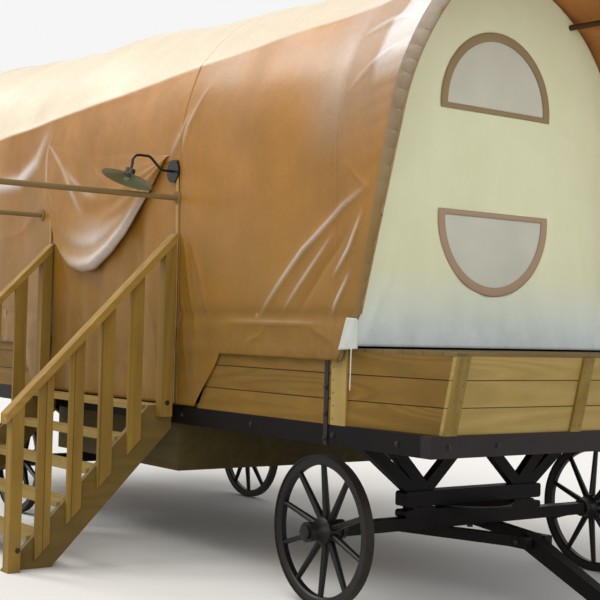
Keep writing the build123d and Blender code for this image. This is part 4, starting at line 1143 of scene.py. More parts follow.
    def edge_band(self, name: str, hoop: ArchSection) -> None:
        """Make the puckered casing along a bonnet's free edge.

        An oval is carried round the bonnet's free edge. Its width and height swell and shrink
        along the way, by a sine whose own phase wanders, as the drawn cloth puckers.

        Args:
            name: The piece's name.
            hoop: The hoop that carries the bonnet.
        """
        edge = self.free_edge(hoop, np.linspace(0.0, 1.0, 760))
        lean, inward = math.radians(hoop.lean), math.copysign(1.0, hoop.lean)
        back = np.array([-math.cos(lean) * inward, 0.0, math.sin(lean) * inward])
        travel = travelled(edge)
        pucker = np.abs(np.sin(travel * 29.0 + 1.8 * np.sin(travel * 4.0) + 0.7 * np.sin(travel * 11.0)))
        full = ramp(edge[:, 2], 1.8, 1.1)
        width = 0.046 + 0.066 * full + 0.012 * pucker
        height = 0.009 + 0.009 * full + (0.005 + 0.007 * full) * pucker**0.7
        outline = oval(1.0, 1.0, 14)[None] * stacked(width, height)[:, None]
        path = edge + back * (0.018 + 0.030 * full - 0.008 * pucker)[:, None]
        settle(carried(name, path, back, outline, self.band), "cover_cloth")

    def seam_tape(self, name: str, x: float, width: float = 0.032) -> None:
        """Make the tape sewn over a seam: a thin strip carried round the cover at one place.

        Args:
            name: The piece's name.
            x: The seam's place along the wagon.
            width: How wide the tape is.
        """
        share = np.linspace(0.0, 1.0, 300)
        places = np.array([x - width / 2, x - width / 4, x, x + width / 4, x + width / 2])
        base = self.base(places, share)
        share_grid = np.broadcast_to(share, base.shape[:2])
        rise = np.array([-0.001, 0.0014, 0.0018, 0.0014, -0.001])[:, None]
        points = base + outward(base) * (self.lift(base, share_grid) + rise)[..., None]
        faces = grid_faces(len(places), len(share))
        piece = mesh_piece(name, points, faces, self.cloth, stacked(base[..., 0], share_grid * 6.3))
        paint_highlight(piece, self.pale(base))
        thicken(piece, self.tape_thickness)
        settle(piece, "cover_cloth")

    def build(self) -> None:
        """Make the whole cover."""
        runs = ((0.0, 0.27, 150), (0.275, 0.42, 30), (0.43, 1.0, 90))
        fine = np.concatenate([np.linspace(*run) for run in runs])
        front = np.linspace(self.front_seam.x + 0.01, self.door_front.x, 140)
        rear = np.linspace(self.door_front.x, self.rear_seam.x - 0.01, 160)
        self.sheet("cover_sheet_front", front, fine, ("cover_front",))
        self.sheet("cover_sheet_rear", rear, fine, ("cover_door", "cover_rear"), door=True)
        self.bonnet("bonnet_cloth_front", self.front_seam, self.front_hoop, 420, 46, "bonnet_front")
        self.bonnet("bonnet_cloth_rear", self.rear_seam, self.rear_hoop, 240, 32, "bonnet_rear")
        self.edge_band("bonnet_band_front", self.front_hoop)
        self.edge_band("bonnet_band_rear", self.rear_hoop)
        self.seam_tape("seam_tape_front", self.front_seam.x)
        self.seam_tape("seam_tape_rear", self.rear_seam.x)


@dataclass(frozen=True)
class WindowOutline:
    """A window with one flat side and one round side, on an end wall."""

    flat: float
    round_end: float
    half: float = 0.453

    @property
    def way(self) -> float:
        """Which way the round side lies from the flat one: 1 for up, -1 for down."""
        return math.copysign(1.0, self.round_end - self.flat)

    def circle(self) -> tuple[float, float]:
        """Find the circle of the round side.

        Its radius is the sum of the squares of half the flat side and of the rise, over twice the rise.

        Returns:
            Height of its middle, and its radius.
        """
        rise = abs(self.round_end - self.flat)
        radius = (self.half**2 + rise**2) / (2 * rise)
        return self.flat + self.way * (rise - radius), radius

    def inside(self, y: Array, z: Array, inset: float) -> Array:
        """Whether points lie inside the outline, drawn in by an inset."""
        middle, radius = self.circle()
        return ((z - self.flat) * self.way > inset) & (np.hypot(y, z - middle) < radius - inset)

    def border(self, arc_inset: float = 0.0, flat_inset: float = 0.0) -> Array:
        """Find points round the outline: along the arc, then back along the flat side.

        Args:
            arc_inset: How far the arc is drawn in.
            flat_inset: How far the flat side is drawn in.

        Returns:
            Points as Y and height.
        """
        middle, radius = self.circle()
        radius -= arc_inset
        flat = self.flat + self.way * flat_inset
        reach = math.acos(np.clip((flat - middle) * self.way / radius, -1, 1))
        turn = np.linspace(-reach, reach, 90)
        arc = stacked(radius * np.sin(turn), middle + self.way * radius * np.cos(turn))
        line = stacked(np.linspace(arc[-1, 0], arc[0, 0], 22)[1:-1], np.full(20, flat))
        return np.concatenate([arc, line])


@dataclass(frozen=True)
class End:
    """One end of the wagon: its name, the wall's place, the way outwards and its arch's spring line."""

    name: str
    x: float
    out: float
    spring: float


@dataclass
class EndWalls:
    """The canvas end walls, with bound windows, hems and corner flaps."""

    canvas: Material
    binding: Material
    mesh: Material
    corner: Material
    cord: Material
    ends: tuple[End, ...] = (End("front", 0.148, 1.0, 2.668), End("rear", -6.158, -1.0, 2.985))
    windows: tuple[WindowOutline, ...] = (WindowOutline(2.885, 3.381), WindowOutline(2.295, 1.793))
    foot: float = 1.484
    inset: float = 0.0095
    cell: float = 0.018
    arc_width: float = 0.054
    flat_width: float = 0.032
    thickness: float = 0.002
    trim_thickness: float = 0.0012
    behind_face: float = 0.004
    pane_behind: float = 0.0045
    pane_grid: tuple[int, int] = (60, 30)
    flap_back: tuple[tuple[float, float], ...] = ((-0.067, 1.460), (0.000, 1.640))
    flap_out: tuple[tuple[float, float], ...] = ((0.082, 1.470), (0.090, 1.636))
    flap_grid: tuple[int, int] = (22, 18)
    tie_start: Place = (0.046, 1.111, 1.474)
    tie_stop: Place = (-0.004, 1.0745, 1.24)
    tie_width: float = 0.006

    def wall(self, end: End) -> None:
        """Make one end wall.

        A grid of Y and height is held inside the arch: above the spring line a point further out
        than the radius moves in along its own ray, and below it moves in level. The wall bellies
        out by soft waves that die at its edge.

        Args:
            end: The wagon's end.
        """
        spring, radius = end.spring, COVER_RADIUS - self.inset
        half_foot = HEM_HALF - self.inset
        y = np.arange(-radius - self.cell, radius + 1.5 * self.cell, self.cell)
        z = np.arange(self.foot, spring + radius + 1.5 * self.cell, self.cell)
        y_grid, z_grid = np.meshgrid(y, z, indexing="ij")
        reach = np.hypot(y_grid, z_grid - spring)
        above = z_grid > spring
        pull = np.where(above & (reach > radius), radius / np.maximum(reach, 1e-6), 1.0)
        held_z = np.where(above, spring + (z_grid - spring) * pull, z_grid)
        side = np.where(above, radius, half_foot + (radius - half_foot) * (z_grid - HEM) / (spring - HEM))
        held_y = np.where(above, y_grid * pull, np.clip(y_grid, -side, side))
        edge = np.where(above, radius - np.minimum(reach, radius), side - np.abs(held_y))
        belly = 0.004 * np.sin(held_y * 5.1 + 0.6) * np.sin(held_z * 3.0)
        gathers = np.sin(held_y * 26.0 + 1.6 * np.sin(held_y * 6.0))
        belly += 0.007 * gathers * np.exp(-(held_z - self.foot) / 0.45)
        folds = [Crease(((-1.0, 1.50), (-0.82, 1.86), (-0.74, 2.2)), 0.035, 0.010, False),
                 Crease(((0.95, 1.52), (0.78, 1.9), (0.74, 2.3)), 0.035, 0.008, False)]
        for window in self.windows:
            for corner in (-1, 1):
                start = (corner * window.half, window.flat)
                stop = (corner * (window.half + 0.35), window.flat - 0.16)
                folds.append(Crease((start, stop), 0.02, 0.0042, False))
        belly += sum(fold.lift(held_y, held_z) for fold in folds)
        x = end.x - end.out * self.behind_face + end.out * belly * ramp(edge, 0.0, 0.12)
        points = stacked(x, held_y, held_z).reshape(-1, 3)
        faces = grid_faces(len(y), len(z), flip=end.out < 0)
        area = face_areas(points, faces)
        middle = points[faces].mean(axis=1)
        keep = area > 2e-5
        for window in self.windows:
            keep &= ~window.inside(middle[:, 1], middle[:, 2], self.flat_width * 0.6)
        piece = mesh_piece(f"canvas_wall_{end.name}", points, faces[keep], self.canvas, points[:, 1:])
        thicken(piece, self.thickness)
        settle(piece, "end_cloth", f"end_cloth_{end.name}")

    def bind(self, end: End) -> None:
        """Make the bindings of one wall's windows: a low pillow carried round each outline.

        Args:
            end: The wagon's end.
        """
        name, parts = f"window_binding_{end.name}", []
        across = np.linspace(0.0, 1.0, 7)
        x = end.x + end.out * (0.0012 + 0.0042 * np.sin(np.pi * across) ** 0.5)
        for window in self.windows:
            outer, inner = window.border()[:, None], window.border(self.arc_width, self.flat_width)[:, None]
            yz = outer * (1 - across[None, :, None]) + inner * across[None, :, None]
            count = len(yz)
            points = np.concatenate([np.broadcast_to(x, (count, 7))[..., None], yz], axis=-1)
            faces = grid_faces(count, 7, ring_rows=True, flip=end.out == window.way)
            cut = stacked(np.linspace(0, 2.4, count)[:, None], across[None] * 0.05)
            parts.append(mesh_piece(name, points, faces, self.binding, cut))
        piece = joined(name, parts)
        thicken(piece, self.trim_thickness)
        settle(piece, "binding_cloth", "window_bindings")

    def panes(self, end: End) -> None:
        """Make one wall's window panes.

        Across each pane the place runs from one end of the flat side to the other. Up it, each
        point lies between the flat side and the circle above or below it.

        Args:
            end: The wagon's end.
        """
        name, parts, area = f"window_pane_{end.name}", [], 0.0
        columns, rows = self.pane_grid
        across, up_it = np.meshgrid(np.linspace(-1, 1, columns), np.linspace(0, 1, rows), indexing="ij")
        for window in self.windows:
            middle, radius = window.circle()
            radius -= 0.02
            flat = window.flat + window.way * 0.012
            y = across * (math.sqrt(radius**2 - (flat - middle) ** 2) - 0.002)
            z = flat + (middle + window.way * np.sqrt(radius**2 - y**2) - flat) * up_it
            x = np.full(y.shape, end.x - end.out * self.pane_behind)
            points = stacked(x, y, z).reshape(-1, 3)
            faces = grid_faces(columns, rows, flip=end.out != window.way)
            area += float(face_areas(points, faces).sum())
            parts.append(mesh_piece(name, points, faces, self.mesh, points[:, 1:]))
        piece = joined(name, parts)
        thicken(piece, self.trim_thickness)
        settle(piece, "window_mesh", "window_meshes")

    def flap(self, end: End, place: str, side: float) -> None:
        """Make a corner flap: four corners of canvas round the bonnet's tip, and its tie cord.

        The flap's points lie between its four corners, with a soft fold from the tie's corner.

        Args:
            end: The wagon's end.
            place: The name of the corner.
            side: The side of the wagon, as the sign of Y.
        """
        u, v = np.meshgrid(*(np.linspace(0, 1, count) for count in self.flap_grid), indexing="ij")
        (back_low, back_high), (out_low, out_high) = np.array(self.flap_back), np.array(self.flap_out)
        low = back_low + (out_low - back_low) * u[..., None]
        high = back_high + (out_high - back_high) * u[..., None]
        flat = low + (high - low) * v[..., None]
        fold = 0.0025 * np.sin(u * 7.0 - v * 5.0) * np.sin(np.pi * u)
        y = side * (HEM_HALF + 0.023 + fold - 0.018 * u**6)
        points = stacked(end.x + end.out * flat[..., 0], y, flat[..., 1]).reshape(-1, 3)
        faces = grid_faces(*self.flap_grid, flip=side == end.out)
        piece = mesh_piece(f"corner_flap_{place}", points, faces, self.corner, points[:, [0, 2]])
        thicken(piece, self.thickness)
        settle(piece, "end_cloth")
        start, stop = (np.array([end.x, 0.0, 0.0]) + np.array([end.out, side, 1.0]) * corner
                       for corner in (self.tie_start, self.tie_stop))
        path = start + (stop - start) * np.linspace(0, 1, 14)[:, None]
        cord = oval(self.tie_width, self.tie_width, 8)
        settle(carried(f"corner_tie_{place}", path, [1, 0, 0], cord, self.cord), "end_cloth")

    def build(self) -> None:
        """Make both end walls."""
        for end in self.ends:
            self.wall(end)
        for end in self.ends:
            self.bind(end)
            self.panes(end)
            for side_name, side in (("near", NEAR), ("far", FAR)):
                self.flap(end, f"{end.name}_{side_name}", side)


@dataclass
class DoorSide:
    """The door cloth, its zip tapes and the awning cloth slung between the rods."""

    cover: Cover
    cloth: Material
    tape: Material
    front_x: float = -1.640
    rear_x: float = -3.680
    top: float = 2.700
    foot: float = 1.050
    behind_cover: float = 0.007
    door_thickness: float = 0.0025
    door_grid: tuple[int, int] = (190, 90)
    swag_thickness: float = 0.002
    swag_grid: tuple[int, int] = (190, 100)
    fold_depth: float = 0.010
    bag_depth: float = 0.085
    bag_folds: float = 0.011
    zip_inset: float = 0.056
    zip_foot: float = 1.055
    zip_top: float = 2.56
    zip_profile: tuple[tuple[float, float], ...] = (
        (0.0, -0.002), (0.011, 0.0), (0.009, 0.0025), (0.002, 0.0028), (0.0, 0.0045),
        (-0.002, 0.0028), (-0.009, 0.0025), (-0.011, 0.0))
    lower_edge: tuple[tuple[float, float], ...] = (
        (-3.700, 2.700), (-3.676, 2.536), (-3.600, 2.430), (-3.536, 2.331), (-3.436, 2.171),
        (-3.300, 2.050), (-3.166, 1.971), (-2.980, 1.945), (-2.793, 1.964), (-2.560, 2.070),
        (-2.354, 2.202), (-2.084, 2.446), (-1.940, 2.600), (-1.860, 2.700),
    )
    upper_edge: tuple[tuple[float, float], ...] = (
        (-3.705, 3.040), (-3.30, 2.98), (-2.40, 2.86), (-1.800, 2.720))

    def cover_face(self, x: Array, z: Array) -> Array:
        """How far out the cover stands: its leg's line, then the circle above the spring line.

        Args:
            x: Places along the wagon.
            z: Heights.

        Returns:
            A distance from the centre plane for each place.
        """
        spring = spring_line(x, (self.cover.door_front, self.cover.door_rear, self.cover.rear_seam))
        leg = HEM_HALF + (COVER_RADIUS - HEM_HALF) * np.maximum(z - HEM, 0.0) / (spring - HEM)
        return np.where(z < spring, leg, np.sqrt(np.maximum(COVER_RADIUS**2 - (z - spring) ** 2, 0.0)))

    def door(self) -> None:
        """Make the door cloth: a hanging sheet whose depth is a sum of upright folds."""
        across, up_it = self.door_grid
        x, z = np.meshgrid(np.linspace(self.front_x, self.rear_x, across),
                           np.linspace(self.foot, self.top, up_it), indexing="ij")
        inset = ramp(np.minimum(self.front_x - x, x - self.rear_x), 0.0, 0.18)
        below = self.top - z
        folds = np.sin(x * 9.0 + 1.2 * np.sin(x * 3.1) + 0.5 * z) + 0.5 * np.sin(x * 21.0 + 0.8 * z)
        folds += Crease(((-3.52, 2.22), (-3.27, 1.82), (-3.05, 1.5)), 0.03, 1.1).lift(x, z)
        folds += Crease(((-2.2, 2.0), (-2.0, 1.6), (-1.9, 1.1)), 0.03, 0.8).lift(x, z)
        freed = (0.25 + 0.75 * ramp(below, 0.0, 0.5)) * ramp(below, 0.0, 0.4)
        depth = self.fold_depth * folds * inset * freed
        points = stacked(x, self.behind_cover - self.cover_face(x, z) - depth, z)
        piece = mesh_piece("door_sheet", points, grid_faces(across, up_it), self.cloth, stacked(-x, z))
        thicken(piece, self.door_thickness)
        settle(piece, "cover_cloth", "door_cloth")

    def swag(self) -> None:
        """Make the slack bag of cover cloth over the door.

        One way the place runs along the bag's lower edge from its rear limb to its front limb, the
        other way down from the line where it leaves the cover. Its depth grows towards the lower
        edge, and curved folds run along it that draw together in both limbs.
        """
        low, high = np.array(self.lower_edge), np.array(self.upper_edge)
        travel = travelled(low)
        along, down = (np.linspace(0, 1, count) for count in self.swag_grid)
        edge = stacked(*(np.interp(along, travel / travel[-1], line) for line in low.T))
        soft = np.array([1.0, 2.0, 3.0, 4.0, 5.0, 4.0, 3.0, 2.0, 1.0])
        padded = np.pad(edge, ((4, 4), (0, 0)), mode="reflect", reflect_type="odd")
        edge = stacked(*(np.convolve(line, soft / soft.sum(), mode="valid") for line in padded.T))
        top_x = high[0, 0] + (high[-1, 0] - high[0, 0]) * (along + 0.10 * np.sin(2 * np.pi * along) / np.pi)
        top = stacked(top_x, np.interp(-top_x, -high[::-1, 0], high[::-1, 1]))
        u, v = np.meshgrid(along, down, indexing="ij")
        flat = top[:, None] * (1 - v[..., None]) + edge[:, None] * v[..., None]
        x, z = flat[..., 0], flat[..., 1]
        bag = np.sin(np.pi * u) ** 0.8
        depth = self.bag_depth * bag * v**1.7 + 0.010 * v
        share = LEG_SHARE * np.clip((z - DOOR_HEM) / (2.78 - DOOR_HEM), 0.0, 1.2)
        drape = self.cover.lift(stacked(x, -np.ones_like(x), z), share) * (1 - v)
        drape += 0.002 - 0.011 * np.clip(1 - v / 0.35, 0, 1) ** 1.5
        folds = np.sin(2 * np.pi * (3.1 * v**1.4 + 0.35 * np.sin(2.6 * u + 0.4)))
        folds += 0.6 * np.sin(2 * np.pi * (6.3 * v + 0.5 * u + 0.2 * np.sin(5.0 * u)))
        relief = self.bag_folds * folds * v**1.5 * (1.15 - v) * (0.5 + bag)
        limb = ramp(u, 0.62, 0.3) * ramp(u, 1.0, -0.06)
        roll = 0.022 * limb * bell(v, 0.90, 0.055) - 0.014 * limb * bell(v, 0.76, 0.06)
        curl = ramp(v, 0.94, 0.06) ** 2 * (0.05 * bag + 0.006)
        y = -(self.cover_face(x, z) + drape + depth + relief + roll - curl)
        points = stacked(x, y, z)
        faces = grid_faces(*self.swag_grid, flip=True)
        piece = mesh_piece("awning_swag_sheet", points, faces, self.cloth, stacked(-x, z))
        # Painted reflection: the pale share on the lower front limb and in two streaks higher up stands for
        # sky light on the glossy cloth.
        start = 0.56 + 0.34 * ramp(u, 0.5, 0.4)
        pale = ramp(u, 0.30, 0.22) * ramp(u, 0.97, -0.08) * ramp(v, start, 0.22)
        pale *= 0.62 + 0.30 * np.clip(folds, -1, 1)
        pale += 0.40 * bell(v, 0.22 + 0.9 * u, 0.03) * ramp(u, 0.40, -0.1)
        pale += 0.35 * bell(v, 0.30 + 0.25 * u, 0.025) * ramp(u, 0.15, 0.1) * ramp(u, 0.5, -0.1)
        paint_highlight(piece, HIGHLIGHT_SHARE * np.clip(pale, 0, 1))
        thicken(piece, self.swag_thickness)
        settle(piece, "cover_cloth", "awning_swag")

    def zips(self) -> None:
        """Make the zip tapes down both sides of the door: a thin flat profile carried down."""
        z = np.linspace(self.zip_foot, self.zip_top, 70)
        face = (HEM_HALF + 0.001, HEM_HALF + 0.002, COVER_RADIUS + 0.002)
        y = -np.interp(z, (self.zip_foot, HEM, self.cover.door_front.spring), face)
        broad = 1.0 + 0.9 * ramp(z, 2.05, 0.1)
        outline = np.array(self.zip_profile) * stacked(broad, np.ones(len(z)))[:, None]
        for name, x in (("zip_tape_front", self.front_x - self.zip_inset),
                        ("zip_tape_rear", self.rear_x + self.zip_inset)):
            path = stacked(x + 0.006 * np.sin(z * 4.0), y - 0.006, z)
            settle(carried(name, path, [1, 0, 0], outline, self.tape), "cover_cloth")

    def build(self) -> None:
        """Make the door side's cloth pieces."""
        self.door()
        self.swag()
        self.zips()


def turned(name: str, centre: Place, axis: Place, outline: Sequence, material: Material, sides: int) -> Piece:
    """Turn an outline about an axis: at each height along the axis a ring of its own radius.

    Args:
        name: The piece's name.
        centre: Where the axis starts.
        axis: Its direction.
        outline: Heights and radii, from the seat outwards.
        material: The piece's material.
        sides: How many sides the rings have.

    Returns:
        A closed piece.
    """
    axis = unit(np.asarray(axis, float))
    first = unit(np.cross([0.0, 0.0, 1.0], axis))
    turn = np.linspace(0, 2 * math.pi, sides, endpoint=False)
    ring = np.cos(turn)[:, None] * first + np.sin(turn)[:, None] * np.cross(axis, first)
    heights, radii = np.array(outline).T[..., None, None]
    points = np.array(centre) + heights * axis + radii * ring[None]
    faces = grid_faces(len(outline), sides, ring_columns=True, flip=True).tolist()
    faces.append(list(range(sides - 1, -1, -1)))
    faces.append(list(range((len(outline) - 1) * sides, len(outline) * sides)))
    return mesh_piece(name, points, faces, material, smooth=False)


@dataclass
class Fastenings:
    """Bolts and screws, in groups."""

    iron: Material
    screw: Material

    def group(self, name: str, rows: Sequence[tuple[Place, Place]], screws: bool = False) -> None:
        """Make a group of like heads.

        Args:
            name: The piece's name.
            rows: A place and a direction for each head.
            screws: Whether they are screws, and not bolts.
        """
        kind = (SCREW_HEAD, self.screw, 10) if screws else (BOLT_HEAD, self.iron, 12)
        settle(joined(name, [turned(name, place, axis, *kind) for place, axis in rows]), "strap_iron")

    def build(self) -> None:
        """Make every group."""
        sides = [(side, (0.0, side, 0.0)) for side in (NEAR, FAR)]
        planks = [((x, side * WALL_FACE, RAIL_TOP + row * PLANK + lift), out)
                  for side, out in sides for row in range(3)
                  for x in ((-0.005, -2.2, -4.3, -6.05) if side == FAR else (-0.005, -4.3, -6.05))
                  for lift in (0.036, 0.108)]
        self.group("plank_screws", planks, screws=True)
        lean = math.atan2(PORCH_RUN, PORCH_RISE)
        tilt = (math.cos(lean), 0.0, -math.sin(lean))
        battens = [((PORCH_FRONT_FOOT + PORCH_RUN * (z - RAIL_TOP) / PORCH_RISE, y + across, z), tilt)
                   for y in (-0.943, 0.0, 0.943) for z in (1.075, 1.15, 1.22, 1.30, 1.37, 1.43)
                   for across in (-0.022, 0.022)]
        self.group("batten_screws", battens, screws=True)
        rail = [((x, side * WALL_FACE, RAIL_MIDDLE), out)
                for x in (0.55, 0.0, -0.81, -1.62, -2.43, -3.24, -4.05, -4.8, -5.55, -6.2)
                for side, out in sides]
        rail += [((0.814, y, RAIL_MIDDLE), (1.0, 0.0, 0.0)) for y in (-0.95, -0.6, 0.6, 0.95)]
        self.group("rail_bolts", rail)
        straps = [((-0.062, side * 1.0803, z), out) for side, out in sides for z in (0.96, 1.10, 1.25, 1.42)]
        self.group("strap_bolts", straps)
        newels = [((x, y, z), (math.copysign(1.0, x - DOOR_MIDDLE), 0.0, 0.0))
                  for x in (-1.6797, -3.6403) for y, z in ((-1.155, 1.06), (-2.18, 0.17))]
        self.group("stair_bolts", newels)


PINE = (136, 102, 38), (96, 70, 22), (44, 28, 8)
PALE_PINE = (172, 148, 88), (140, 116, 60), (80, 58, 26)
STAIR_PINE = (150, 118, 46), (114, 86, 30), (64, 44, 16)


@dataclass
class NodeDressing:
    """Gives every CAD node that still shows its own material."""

    level: Place = (20.0, 20.0, PLANK)
    upright: Place = (1.0, 20.0, 20.0)
    far_out: Place = (5.0, -9.0, RAIL_TOP)
    stair_corner: Place = (-3.1, -9.0, -1.0)

    def dress(self, material: Material, nodes: Sequence[str]) -> None:
        """Put one material on some nodes.

        Args:
            material: The material.
            nodes: Their names.
        """
        for node in nodes:
            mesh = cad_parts[node].data
            mesh.materials.clear()
            mesh.materials.append(material)
            mesh.polygons.foreach_set("material_index", np.zeros(len(mesh.polygons), np.int32))
        log.info("%s on %s", material.name, ", ".join(nodes))

    def timber(self) -> dict[TimberFinish, str]:
        """List the timber finishes.

        Returns:
            The nodes that take each of them.
        """
        along, across, up = Grain.ALONG, Grain.ACROSS, Grain.UP
        level, upright, corner = self.level, self.upright, self.stair_corner
        batten = (140, 116, 54), (106, 84, 34), (60, 44, 20)
        # The porch top's colours are darkened as painted shade: the bonnet shades the top board.
        porch_top = (122, 100, 58), (90, 70, 36), (50, 36, 18)
        tread = (164, 140, 80), (130, 106, 52), (74, 56, 28)
        # The stringers' colours are darker than the treads' partly as painted shade.
        stringer = (116, 92, 38), (88, 68, 24), (50, 36, 14)
        rail = (168, 132, 56), (132, 100, 38), (70, 48, 20)
        rod = (138, 114, 72), (104, 84, 50), (62, 46, 30)
        ash = (176, 146, 98), (140, 108, 66), (90, 62, 36)
        purlin = (92, 60, 34), (60, 38, 22), (36, 22, 12)
        # The locker's dark colours stand partly for painted shade under the floor.
        locker = (78, 66, 26), (54, 44, 16), (28, 22, 8)
        return {
            TimberFinish("plank_wall_pine", PINE, along, level, self.far_out):
                "side_wall_near side_wall_far end_planks",
            TimberFinish("porch_side_pine", PINE, along, level, self.far_out): "porch_sides",
            TimberFinish("porch_front_pine", PALE_PINE, across, level, self.far_out): "porch_front",
            TimberFinish("batten_pine", batten, up, (20.0, 0.5, 20.0), (5, -0.25, 0), 0.4): "porch_battens",
            TimberFinish("post_pine", PALE_PINE, up, (1.0, 1.0, 20.0), (0.3, -0.5, 0), 0.5):
                "corner_posts door_posts",
            TimberFinish("shaded_porch_top_pine", porch_top, across, (0.14, 20.0, 20.0), (0.1, -9, 0)): "porch_top",
            TimberFinish("floor_pine", PINE, along, (20.0, 0.14, 20.0), (5, -1.05, 0)): "floor_deck",
            TimberFinish("tread_pine", tread, along, (20.0, 20.0, 0.201), (5, -9, 0.085)): "stair_treads",
            TimberFinish("shaded_stringer_pine", stringer, across, upright, corner): "stair_stringers",
            TimberFinish("newel_pine", STAIR_PINE, up, (1.0, 0.6, 20.0), corner, 0.5): "stair_newels",
            TimberFinish("baluster_pine", STAIR_PINE, up, (1.0, 0.19, 20.0), (-3.1, -9.02, -1), 0.4):
                "stair_balusters",
            TimberFinish("handrail_pine", rail, across, upright, corner, 0.4): "stair_handrails",
            TimberFinish("awning_rod_pine", rod, across, upright, (-3.1, -9, 0), 0.3, 0.4): "awning_rods",
            TimberFinish("bow_ash", ash, across, (0.4, 20.0, 20.0), knots=0.1): "bows bonnet_hoops",
            TimberFinish("purlin_timber", purlin, along, (20.0, 0.4, 20.0), (5, -0.2, 0), 0.1): "purlins",
            TimberFinish("shaded_locker_board", locker, along, (20.0, 20.0, 0.4), (5, -9, 0.55), 0.0, 0.35):
                "floor_locker",
        }

    def paint(self) -> dict[PaintFinish, str]:
        """List the finishes of paint and iron.

        Returns:
            The nodes that take each of them.
        """
        gear = "axle_front axle_rear bolsters lower_bolster braces hounds drawbar"
        wheels = " ".join(f"{part}_{place}" for part in ("hub", "wheel") for place in WHEEL_PLACES)
        tyres = " ".join(f"tyre_{place}" for place in WHEEL_PLACES)
        return {
            PaintFinish("chassis_paint", (11, 9, 11), (26, 21, 20), grain=Grain.ALONG, dust=0.06, shine=0.12):
                "chassis_rails",
            PaintFinish("beam_paint", (36, 31, 33), (50, 43, 42), grain=Grain.ACROSS, dust=0.08, shine=0.15):
                "cross_beams",
            PaintFinish("running_gear_paint", (9, 8, 10), (24, 20, 19), grain=Grain.ACROSS, dust=0.06,
                        shine=0.12): gear,
            PaintFinish("wheel_paint", (10, 9, 12), (28, 23, 22), 0.36, dust=0.08, shine=0.25): wheels,
            PaintFinish("tyre_iron", (26, 23, 22), (56, 44, 36), 0.55, 0.6, wear=0.4, dust=0.15): tyres,
            PaintFinish("strap_paint", (20, 18, 18), (46, 38, 34), 0.42, 0.2, dust=0.15):
                "side_straps drawbar_pin turntable_upper",
            PaintFinish("lamp_paint", (24, 24, 26), (50, 48, 46), 0.32, 0.3, dust=0.0): "lamp_mount lamp_arm",
            PaintFinish("shade_enamel", (104, 112, 82), (76, 84, 60), 0.28, dust=0.0, cap=(34, 30, 36),
                        cap_centre=(-1.745, -1.4476, 2.569)): "lamp_shade",
        }

    def build(self) -> None:
        """Dress every node."""
        plan = {**self.timber(), **self.paint(), GlassFinish("frosted_glass"): "lamp_bulb"}
        for finish, nodes in plan.items():
            self.dress(finish.build(), nodes.split())


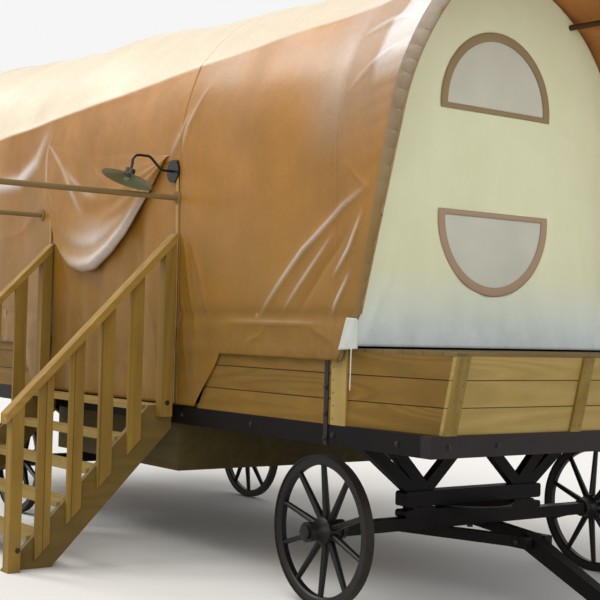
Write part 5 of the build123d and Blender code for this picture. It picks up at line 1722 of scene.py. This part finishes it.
@dataclass
class Studio:
    """The floor, the light and the camera at the photograph's angle."""

    eye: Place = (5.6688, -5.4880, 1.5712)
    azimuth: float = 53.6998
    pitch: float = 1.2852
    roll: float = 1.5237
    lens: float = 77.0556
    sensor: float = 36.0
    floor_half: float = 60.0

    def camera(self) -> None:
        """Place the camera: right, up and forward are worked out from its turn, pitch and roll."""
        turn, pitch, roll = (math.radians(v) for v in (self.azimuth, self.pitch, self.roll))
        flat = math.cos(pitch)
        forward = np.array([-math.sin(turn) * flat, math.cos(turn) * flat, math.sin(pitch)])
        level = np.array([math.cos(turn), math.sin(turn), 0.0])
        upright = np.cross(level, forward)
        right = level * math.cos(roll) + upright * math.sin(roll)
        up = -level * math.sin(roll) + upright * math.cos(roll)
        data = bpy.data.cameras.new("view")
        data.lens = self.lens
        data.sensor_width = self.sensor
        data.sensor_fit = "HORIZONTAL"
        data.clip_end = 200.0
        camera = bpy.data.objects.new("view", data)
        bpy.context.scene.collection.objects.link(camera)
        turned_to = Matrix((right, up, -forward)).transposed().to_4x4()
        camera.matrix_world = Matrix.Translation(Vector(to_frame(self.eye))) @ turned_to
        bpy.context.scene.camera = camera

    def floor(self) -> None:
        """Make the plain pale floor."""
        material, w, shader, place = new_material("studio_floor")
        tone = w.mix(w.noise(place, 0.5, 2.0), colour((226, 225, 222)), colour((231, 230, 227)))
        w.join(shader, {"Base Color": tone, "Roughness": 0.9})
        half, level = self.floor_half, -WAGON_ORIGIN[2] - 0.001
        corners = [[x, y, level] for x, y in ((-half, -half), (half, -half), (half, half), (-half, half))]
        mesh_piece("studio_floor", corners, [[0, 1, 2, 3]], material, smooth=False)

    def light(self) -> None:
        """Light the wagon: an even sky, a soft high sun and a wide fill from the front."""
        world = bpy.data.worlds.new("studio_sky")
        bpy.context.scene.world = world
        world.use_nodes = True
        world.node_tree.nodes.clear()
        w = Wiring(world.node_tree)
        path = w.add("LightPath").outputs
        seen = w.math("MAXIMUM", path["Is Camera Ray"], path["Is Glossy Ray"])
        seen = w.math("MAXIMUM", seen, path["Is Transmission Ray"])
        strength = w.spread(seen, 0.0, 1.0, 0.5, 0.92)
        sky = w.add("Background", {"Color": (1.0, 1.0, 1.0, 1.0), "Strength": strength})
        w.add("OutputWorld", {0: sky.outputs[0]})
        for name, energy, angle, direction, tint in (
            ("sun", 1.5, 45.0, (0.25, 0.55, -1.0), (1.0, 0.98, 0.94)),
            ("fill", 0.95, 50.0, (-1.0, 0.35, -0.45), (0.97, 0.98, 1.0)),
            ("rim", 0.8, 16.0, (0.70, 0.30, -0.62), (1.0, 0.98, 0.95)),
        ):
            data = bpy.data.lights.new(name, "SUN")
            data.energy = energy
            data.angle = math.radians(angle)
            data.color = tint
            lamp = bpy.data.objects.new(name, data)
            lamp.rotation_mode = "QUATERNION"
            lamp.rotation_quaternion = Vector(direction).to_track_quat("-Z", "Y")
            bpy.context.scene.collection.objects.link(lamp)

    def build(self) -> None:
        """Set the stage."""
        bpy.context.scene.view_settings.view_transform = "Standard"
        self.camera()
        self.floor()
        self.light()


def main() -> None:
    """Build every piece in order."""
    Studio().build()
    # The vinyl's crown colour is a painted sunlit highlight on the cover's top. Its pale colour is the
    # painted highlight and sky reflection laid on by the pale attribute.
    vinyl = CoatedClothFinish("cover_vinyl", (140, 102, 32), (118, 83, 24), (192, 130, 54),
                              crown=(236, 222, 194), pale=(232, 225, 221), gloss=0.34, roughness=0.36).build()
    lining = CoatedClothFinish("cover_lining", (160, 108, 52), (140, 92, 42), (196, 134, 76)).build()
    tape = CoatedClothFinish("zip_tape", (186, 150, 90), (160, 124, 68), (192, 154, 96)).build()
    band = CoatedClothFinish("edge_band", (132, 106, 60), (108, 86, 48), (176, 164, 152), (76, 60, 38),
                             change=(2.1, 3.4)).build()
    canvas = CanvasFinish("end_canvas", (226, 228, 194), (214, 216, 178), (218, 229, 234), 1.5, 1.9).build()
    binding = CanvasFinish("binding_cloth", (152, 130, 92), (134, 112, 76), (170, 142, 118), 2.3, 2.7,
                           grub=0.1).build()
    pane = WindowMeshFinish("pane_mesh", (210, 210, 194), (188, 186, 168)).build()
    # The corner flaps take a darker copy of the end canvas: painted shade.
    corner = CanvasFinish("shaded_corner_canvas", (192, 194, 180), (172, 174, 160), (190, 196, 192)).build()
    cord = CanvasFinish("tie_cord", (226, 224, 214), (206, 202, 188), (220, 218, 208), grub=0.1).build()
    iron = PaintFinish("bolt_iron", (36, 33, 33), (70, 58, 50), 0.45, 0.5).build()
    screw = PaintFinish("screw_steel", (120, 112, 96), (80, 66, 50), 0.4, 0.8, dust=0.1).build()
    cover = Cover(vinyl, lining, band)
    for part in (cover, EndWalls(canvas, binding, pane, corner, cord), DoorSide(cover, vinyl, tape),
                 Fastenings(iron, screw), NodeDressing()):
        part.build()
        log.info("%s is built", type(part).__name__)


if __name__ == "__main__":
    main()
